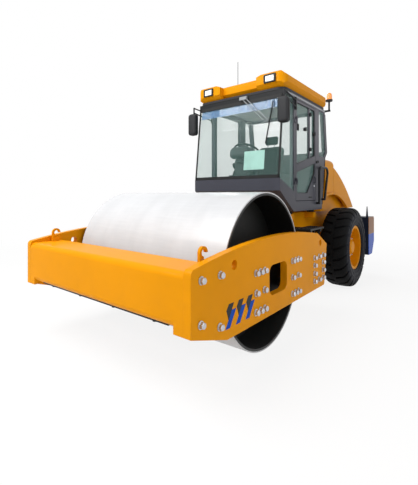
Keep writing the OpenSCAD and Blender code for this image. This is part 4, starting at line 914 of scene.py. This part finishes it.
cabTrim = {
    "gutter": {"x": (-1.05, 0.43), "y": (0.719, 0.733), "z": (2.968, 2.990), "edge": 0.004},
    "liner": {"middle": (-0.31, 0, 3.009), "size": (1.42, 1.296), "corner": 0.06,
              "rise": (0, 0.012, 0.02, 0.004)},
    "rearSeal": [(-0.958, 1.42), (-1.098, 2.212), (-1.188, 2.300), (-1.096, 2.94)],
    "rearSealSide": 0.716,
    "sidePane": [(0.127, 1.768), (-0.642, 1.768), (-0.642, 2.942), (0.127, 2.942)],
    "sidePaneFace": -0.712, "paneCorner": 0.05, "sealRadius": 0.009, "sealSteps": 10,
}


def makeCabTrim(p):
    gutter, liner = p["gutter"], p["liner"]
    (x0, x1), (y0, y1), (z0, z1) = (gutter[k] for k in "xyz")
    gutters = Shape()
    for side in (1, -1):
        low, high = sorted((side * y0, side * y1))
        gutters.box((x0, low, z0), (x1, high, z1))
    gutters.piece("cabGutters", "chassis", "paleGrey", "grey_paint", bevel=gutter["edge"])
    down = facing(liner["middle"], (0, 0, -1), (0, 1, 0))
    Shape().crown(liner["size"], liner["corner"], down, *liner["rise"]
                  ).piece("headLiner", "chassis", "lining")
    seals = Shape()
    radius, steps = p["sealRadius"], p["sealSteps"]
    for side in (1, -1):
        seals.tube([(x, side * p["rearSealSide"], z) for x, z in p["rearSeal"]], radius, steps)
    pane = roundPath(p["sidePane"], p["paneCorner"])
    seals.tube([(x, p["sidePaneFace"], z) for x, z in pane], radius, steps, closed=True)
    seals.piece("cabSeals", "chassis", "seal", "rubber")


makeCabTrim(cabTrim)
print("door and cab trim made")


# Inside the cab

insideParts = {
    "mat": {"middle": (-0.38, 0, 1.380), "size": (0.96, 1.32), "corner": 0.05, "rise": (0, 0.012, 0.006)},
    "pod": {"place": (0.478, 0, 2.205), "lean": (1, 0, 0.22), "size": (0.34, 0.18), "corner": 0.07,
            "rise": (-0.024, 0.046, 0.062, 0.012, 7), "edge": 0.003,
            "stalk": ((0.405, -0.05, 2.06), (0.485, 0.05, 2.16))},
    "screen": {"size": (0.28, 0.13), "corner": 0.02, "rise": (-0.002, 0.006, 0.006)},
    "dials": {"at": (-0.085, 0, 0.085), "out": 0.006, "steps": 32,
              "turned": [(0.030, -0.001), (0.036, -0.001), (0.036, 0.006), (0.032, 0.008), (0.030, 0.006),
                         (0.030, -0.001)]},
    "lever": {"foot": (-0.02, -0.38, 1.90), "top": (0.03, -0.385, 2.075), "steps": 32, "smooth": 50},
    "boot": [(0, 0), (0.062, 0), (0.062, 0.008), (0.050, 0.020), (0.054, 0.030), (0.038, 0.044),
             (0.041, 0.053), (0.026, 0.066), (0.028, 0.074), (0.012, 0.084), (0, 0.084)],
    "stick": [(0, 0.07), (0.009, 0.07)],
    "knob": [(0.009, -0.06), (0.020, -0.055), (0.026, -0.02), (0.024, 0.012), (0.014, 0.026), (0, 0.028)],
    "keys": {"x": (0.0, 0.05), "y": (0.325, 0.355, 0.385, 0.415), "half": (0.019, 0.011),
             "z": (1.898, 1.911), "rock": 5, "edge": 0.003},
}


def makeInside(p):
    mat, pod, screen, dials, lever, keys = map(p.get, ("mat", "pod", "screen", "dials", "lever", "keys"))
    Shape().crown(mat["size"], mat["corner"], facing(mat["middle"], (0, 0, 1), (0, 1, 0)), *mat["rise"]
                  ).piece("floorMat", "chassis", "rubber", "rubber")
    at = facing(pod["place"], pod["lean"])
    Shape().crown(pod["size"], pod["corner"], at, *pod["rise"]).box(*pod["stalk"]
                  ).piece("gaugePod", "chassis", "console", "black_plastic", bevel=pod["edge"])
    ahead = at.col[2].to_3d()
    back = facing(Vector(pod["place"]) + ahead * pod["rise"][0], -ahead)
    Shape().crown(screen["size"], screen["corner"], back, *screen["rise"]
                  ).piece("gaugeScreen", "chassis", "screen")
    rings = Shape()
    for u in dials["at"]:
        spot = facing(back @ Vector((u, 0, dials["out"])), back.col[2].to_3d())
        rings.lathe(dials["turned"], spot, dials["steps"])
    rings.piece("gaugeRings", "chassis", "zinc")
    foot, top = Vector(lever["foot"]), Vector(lever["top"])
    up = facing(foot, (top - foot).normalized(), (1, 0, 0))
    stick = p["stick"] + [(r, (top - foot).length + h) for r, h in p["knob"]]
    Shape().lathe(p["boot"], up, lever["steps"]
                  ).piece("leverBoot", "chassis", "rubber", "rubber", smooth=lever["smooth"])
    Shape().lathe(stick, up, lever["steps"]
                  ).piece("leverKnob", "chassis", "plastic", "black_plastic", smooth=lever["smooth"])
    rockers, rock = Shape(), Matrix.Rotation(math.radians(keys["rock"]), 4, "Y")
    (halfX, halfY), (z0, z1) = keys["half"], keys["z"]
    for y in keys["y"]:
        for x in keys["x"]:
            rockers.box((x - halfX, y - halfY, z0), (x + halfX, y + halfY, z1), rock)
    rockers.piece("rockerKeys", "chassis", "plastic", "black_plastic", bevel=keys["edge"])


makeInside(insideParts)
print("cab furnished")


# Seat: bellows, cushion, backrest and headrest

seatParts = {
    "middle": -0.23, "floor": 1.38, "pan": 1.705,
    "bellows": {"size": (0.34, 0.32), "corner": 0.06, "folds": 7, "draw": 0.022, "smooth": 20},
    "cushion": {"size": (0.50, 0.50), "corner": 0.10, "foot": 1.708, "rise": (0, 0.104, 0.05, 0.04)},
    "back": {"foot": (-0.435, 0, 1.79), "up": (-0.1736, 0, 0.9848)},
    "pads": [  # name, height up the back, size, corner, rise
        ("seatBack", 0.32, (0.47, 0.60), 0.10, (-0.043, 0.043, 0.035, 0.03)),
        ("headRest", 0.725, (0.24, 0.16), 0.05, (-0.03, 0.03, 0.035, 0.03)),
    ],
    "stays": {"y": (-0.06, 0.06), "rise": (0.55, 0.70), "radius": 0.007},
    "voxel": 0.007, "smoothing": (0.5, 6), "swell": 0.026, "waist": 0.010,
    "channels": (0.14, 0.009, 0.010),  # distance from the middle, width, depth
}


def plump(made, p, across, along):  # crowns an even mesh like a stuffed cover and sews in the channels
    grid, soft = made.modifiers.new("grid", "REMESH"), made.modifiers.new("soft", "SMOOTH")
    grid.mode, grid.voxel_size = "VOXEL", p["voxel"]
    soft.factor, soft.iterations = p["smoothing"]
    applyModifiers(made)
    mesh = made.data
    middle = sum((v.co for v in mesh.vertices), Vector()) / len(mesh.vertices)
    reach = max(abs((v.co - middle).dot(along)) for v in mesh.vertices)
    side = max(abs(v.co.y) for v in mesh.vertices)
    at, width, depth = p["channels"]
    for vertex, normal in [(v, v.normal.copy()) for v in mesh.vertices]:
        u, v = vertex.co.y / side, (vertex.co - middle).dot(along) / reach
        front = max(0.0, normal.dot(across))
        sewn = math.exp(-((abs(vertex.co.y) - at) / width) ** 2)
        vertex.co += across * front * (p["swell"] * (1 - u * u) * (1 - v * v) - depth * sewn)
        vertex.co.y -= p["waist"] * u * (1 - v * v)
        vertex.co -= along * p["waist"] * v * (1 - u * u)
    for face in mesh.polygons:
        face.use_smooth = True


def makeSeat(p):
    rings, b = [], p["bellows"]
    for k in range(2 * b["folds"] + 1):
        draw = b["draw"] if k % 2 else 0.0
        z = p["floor"] + (p["pan"] - p["floor"]) * k / (2 * b["folds"])
        wide, deep = b["size"]
        line = roundedOutline(wide - draw, deep - draw, b["corner"])
        rings.append([(p["middle"] + u, v, z) for u, v in line])
    bellows = Shape().loops(rings).piece("seatBellows", "chassis", "rubber", "rubber", smooth=b["smooth"])
    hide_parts("seat")
    foot, up = Vector(p["back"]["foot"]), Vector(p["back"]["up"])
    ahead, front, level = Vector((1, 0, 0)), Vector((up.z, 0, -up.x)), Vector((0, 0, 1))
    c = p["cushion"]
    flat = facing((p["middle"], 0, c["foot"]), level, ahead)
    cushion = Shape().crown(c["size"], c["corner"], flat, *c["rise"])
    plump(cushion.piece("seatCushion", "chassis", "seat", "seat_cover"), p, level, ahead)
    for name, height, size, corner, rise in p["pads"]:
        pad = Shape().crown(size, corner, facing(foot + up * height, front, up), *rise)
        plump(pad.piece(name, "chassis", "seat", "seat_cover"), p, front, up)
    stays, rods = Shape(), p["stays"]
    for y in rods["y"]:
        stays.tube([foot + up * rise + Vector((0, y, 0)) for rise in rods["rise"]], rods["radius"])
    stays.piece("headStays", "chassis", "chrome")


makeSeat(seatParts)
print("seat made")


# Tyres: a turned carcass and lugs set round it by Geometry Nodes

tyreParts = {
    "axle": (-1.46, 0.675), "track": 0.915, "lugs": 24, "lugTurn": 11.6, "groove": 3.3, "sunk": 0.040,
    "bevel": (0.007, 3, 40), "steps": 120, "smooth": 42,
    "lug": [  # distance from the middle, radius, sweep in degrees
        (0.0165, 0.675, 0.0), (0.05, 0.675, 0.8), (0.09, 0.6735, 1.9), (0.129, 0.671, 3.0),
        (0.155, 0.663, 4.5), (0.178, 0.649, 6.0), (0.196, 0.620, 7.6), (0.211, 0.587, 9.0),
        (0.2165, 0.566, 9.3)],
    "carcass": [  # distance from the middle, radius
        (0.016, 0.675), (0.0165, 0.646), (0.05, 0.645), (0.10, 0.643), (0.14, 0.638), (0.165, 0.629),
        (0.186, 0.611), (0.201, 0.586), (0.213, 0.556), (0.2195, 0.525), (0.2195, 0.518), (0.2225, 0.514),
        (0.2225, 0.506), (0.219, 0.502), (0.2165, 0.470), (0.213, 0.445), (0.2145, 0.441), (0.2145, 0.433),
        (0.2105, 0.429), (0.205, 0.408), (0.203, 0.392), (0.1955, 0.378), (0.186, 0.3722)],
}


def ringTree():
    repeat = Repeat("ringRepeat",
                    {"Part": "Geometry", "Count": "Int", "Start": "Float", "Finish": "Material"})
    count = repeat.entry["Count"]
    points = repeat.node("GeometryNodePoints", None, {"Count": count})
    share = repeat.node("GeometryNodeInputIndex").math("DIVIDE", count)
    angle = share.math("MULTIPLY_ADD", 2 * math.pi, repeat.entry["Start"])
    return repeat.copies(repeat.entry["Part"], points, repeat.turn((0, 1, 0), angle))


ringRepeat = ringTree()


def ringOf(shape, count, start, finish, bevel):  # a solid repeated round the Y axis, as a mesh
    bmesh.ops.recalc_face_normals(shape.bm, faces=shape.bm.faces)
    mesh = bpy.data.meshes.new("ringPart")
    shape.bm.to_mesh(mesh)
    made = addObject("ringPart", mesh)
    addBevel(made, *bevel)
    return ringRepeat.run(made, {"Count": count, "Start": start, "Finish": finishes[finish]})


def makeTyres(p):
    section = ((0, 0), (p["lugTurn"], 0), (p["lugTurn"], p["sunk"]), (0, p["sunk"]))
    profile = [(r, y) for y, r in p["carcass"]]
    profile = [(r, -y) for r, y in reversed(profile)] + profile
    for node, body, side in (("tyre_left", "wheel_left", 1), ("tyre_right", "wheel_right", -1)):
        whole = Shape()
        for half in (1, -1):
            rings = []
            for out, radius, swept in p["lug"]:
                corners = [(radius - depth, math.radians(p["groove"] + swept + turn))
                           for turn, depth in section]
                rings.append([(r * math.cos(t), side * half * out, r * math.sin(t)) for r, t in corners])
            start = 0.0 if half > 0 else math.pi / p["lugs"]
            whole.bm.from_mesh(ringOf(Shape().loops(rings), p["lugs"], start, "tyre", p["bevel"]))
        whole.lathe(profile + profile[:1], facing((0, 0, 0), (0, 1, 0)), p["steps"])
        bmesh.ops.translate(whole.bm, verts=whole.bm.verts,
                            vec=(p["axle"][0], side * p["track"], p["axle"][1]))
        made = whole.piece(body + "_tyre", body, "tyre", "tyre", smooth=p["smooth"])
        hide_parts(node)


makeTyres(tyreParts)
print("tyres made")


# Tail lamps and step studs

tailLamps = {"face": -3.096, "side": 0.79, "middle": 0.90, "size": (0.044, 0.080), "corner": 0.008,
             "rise": (-0.002, 0.0035, 0.008), "cells": [("red", -0.049), ("amber", 0.0), ("clear", 0.049)]}


def makeTailLamps(p):
    for finish, shift in p["cells"]:
        lens = Shape()
        for side in (1, -1):
            at = facing((p["face"], side * (p["side"] + shift), p["middle"]), (-1, 0, 0))
            lens.crown(p["size"], p["corner"], at, *p["rise"])
        lens.piece(finish + "TailLens", "chassis", finish, finish + "_lens")


makeTailLamps(tailLamps)

stepStuds = {
    "treads": [  # x, y and top of each
        ((-0.40, 0.11), (0.73, 0.91), 1.09), ((-0.55, -0.34), (0.69, 0.795), 0.58)],
    "pitch": 0.034, "head": (0.015, 0.004, 0.0195),
}


def makeStuds(p):
    spots, pitch = [], p["pitch"]
    for (x0, x1), (y0, y1), z in p["treads"]:
        for i in range(int((x1 - x0) / pitch) + 1):
            for j in range(int((y1 - y0) / pitch) + 1):
                x = x0 + i * pitch + (pitch / 2 if j % 2 else 0)
                if x <= x1:
                    spots += [((x, side * (y0 + j * pitch), z), (0, 0, 1)) for side in (1, -1)]
    boltSet("stepStuds", "chassis", spots, p["head"], "black")


makeStuds(stepStuds)
print("tail lamps and step studs made")
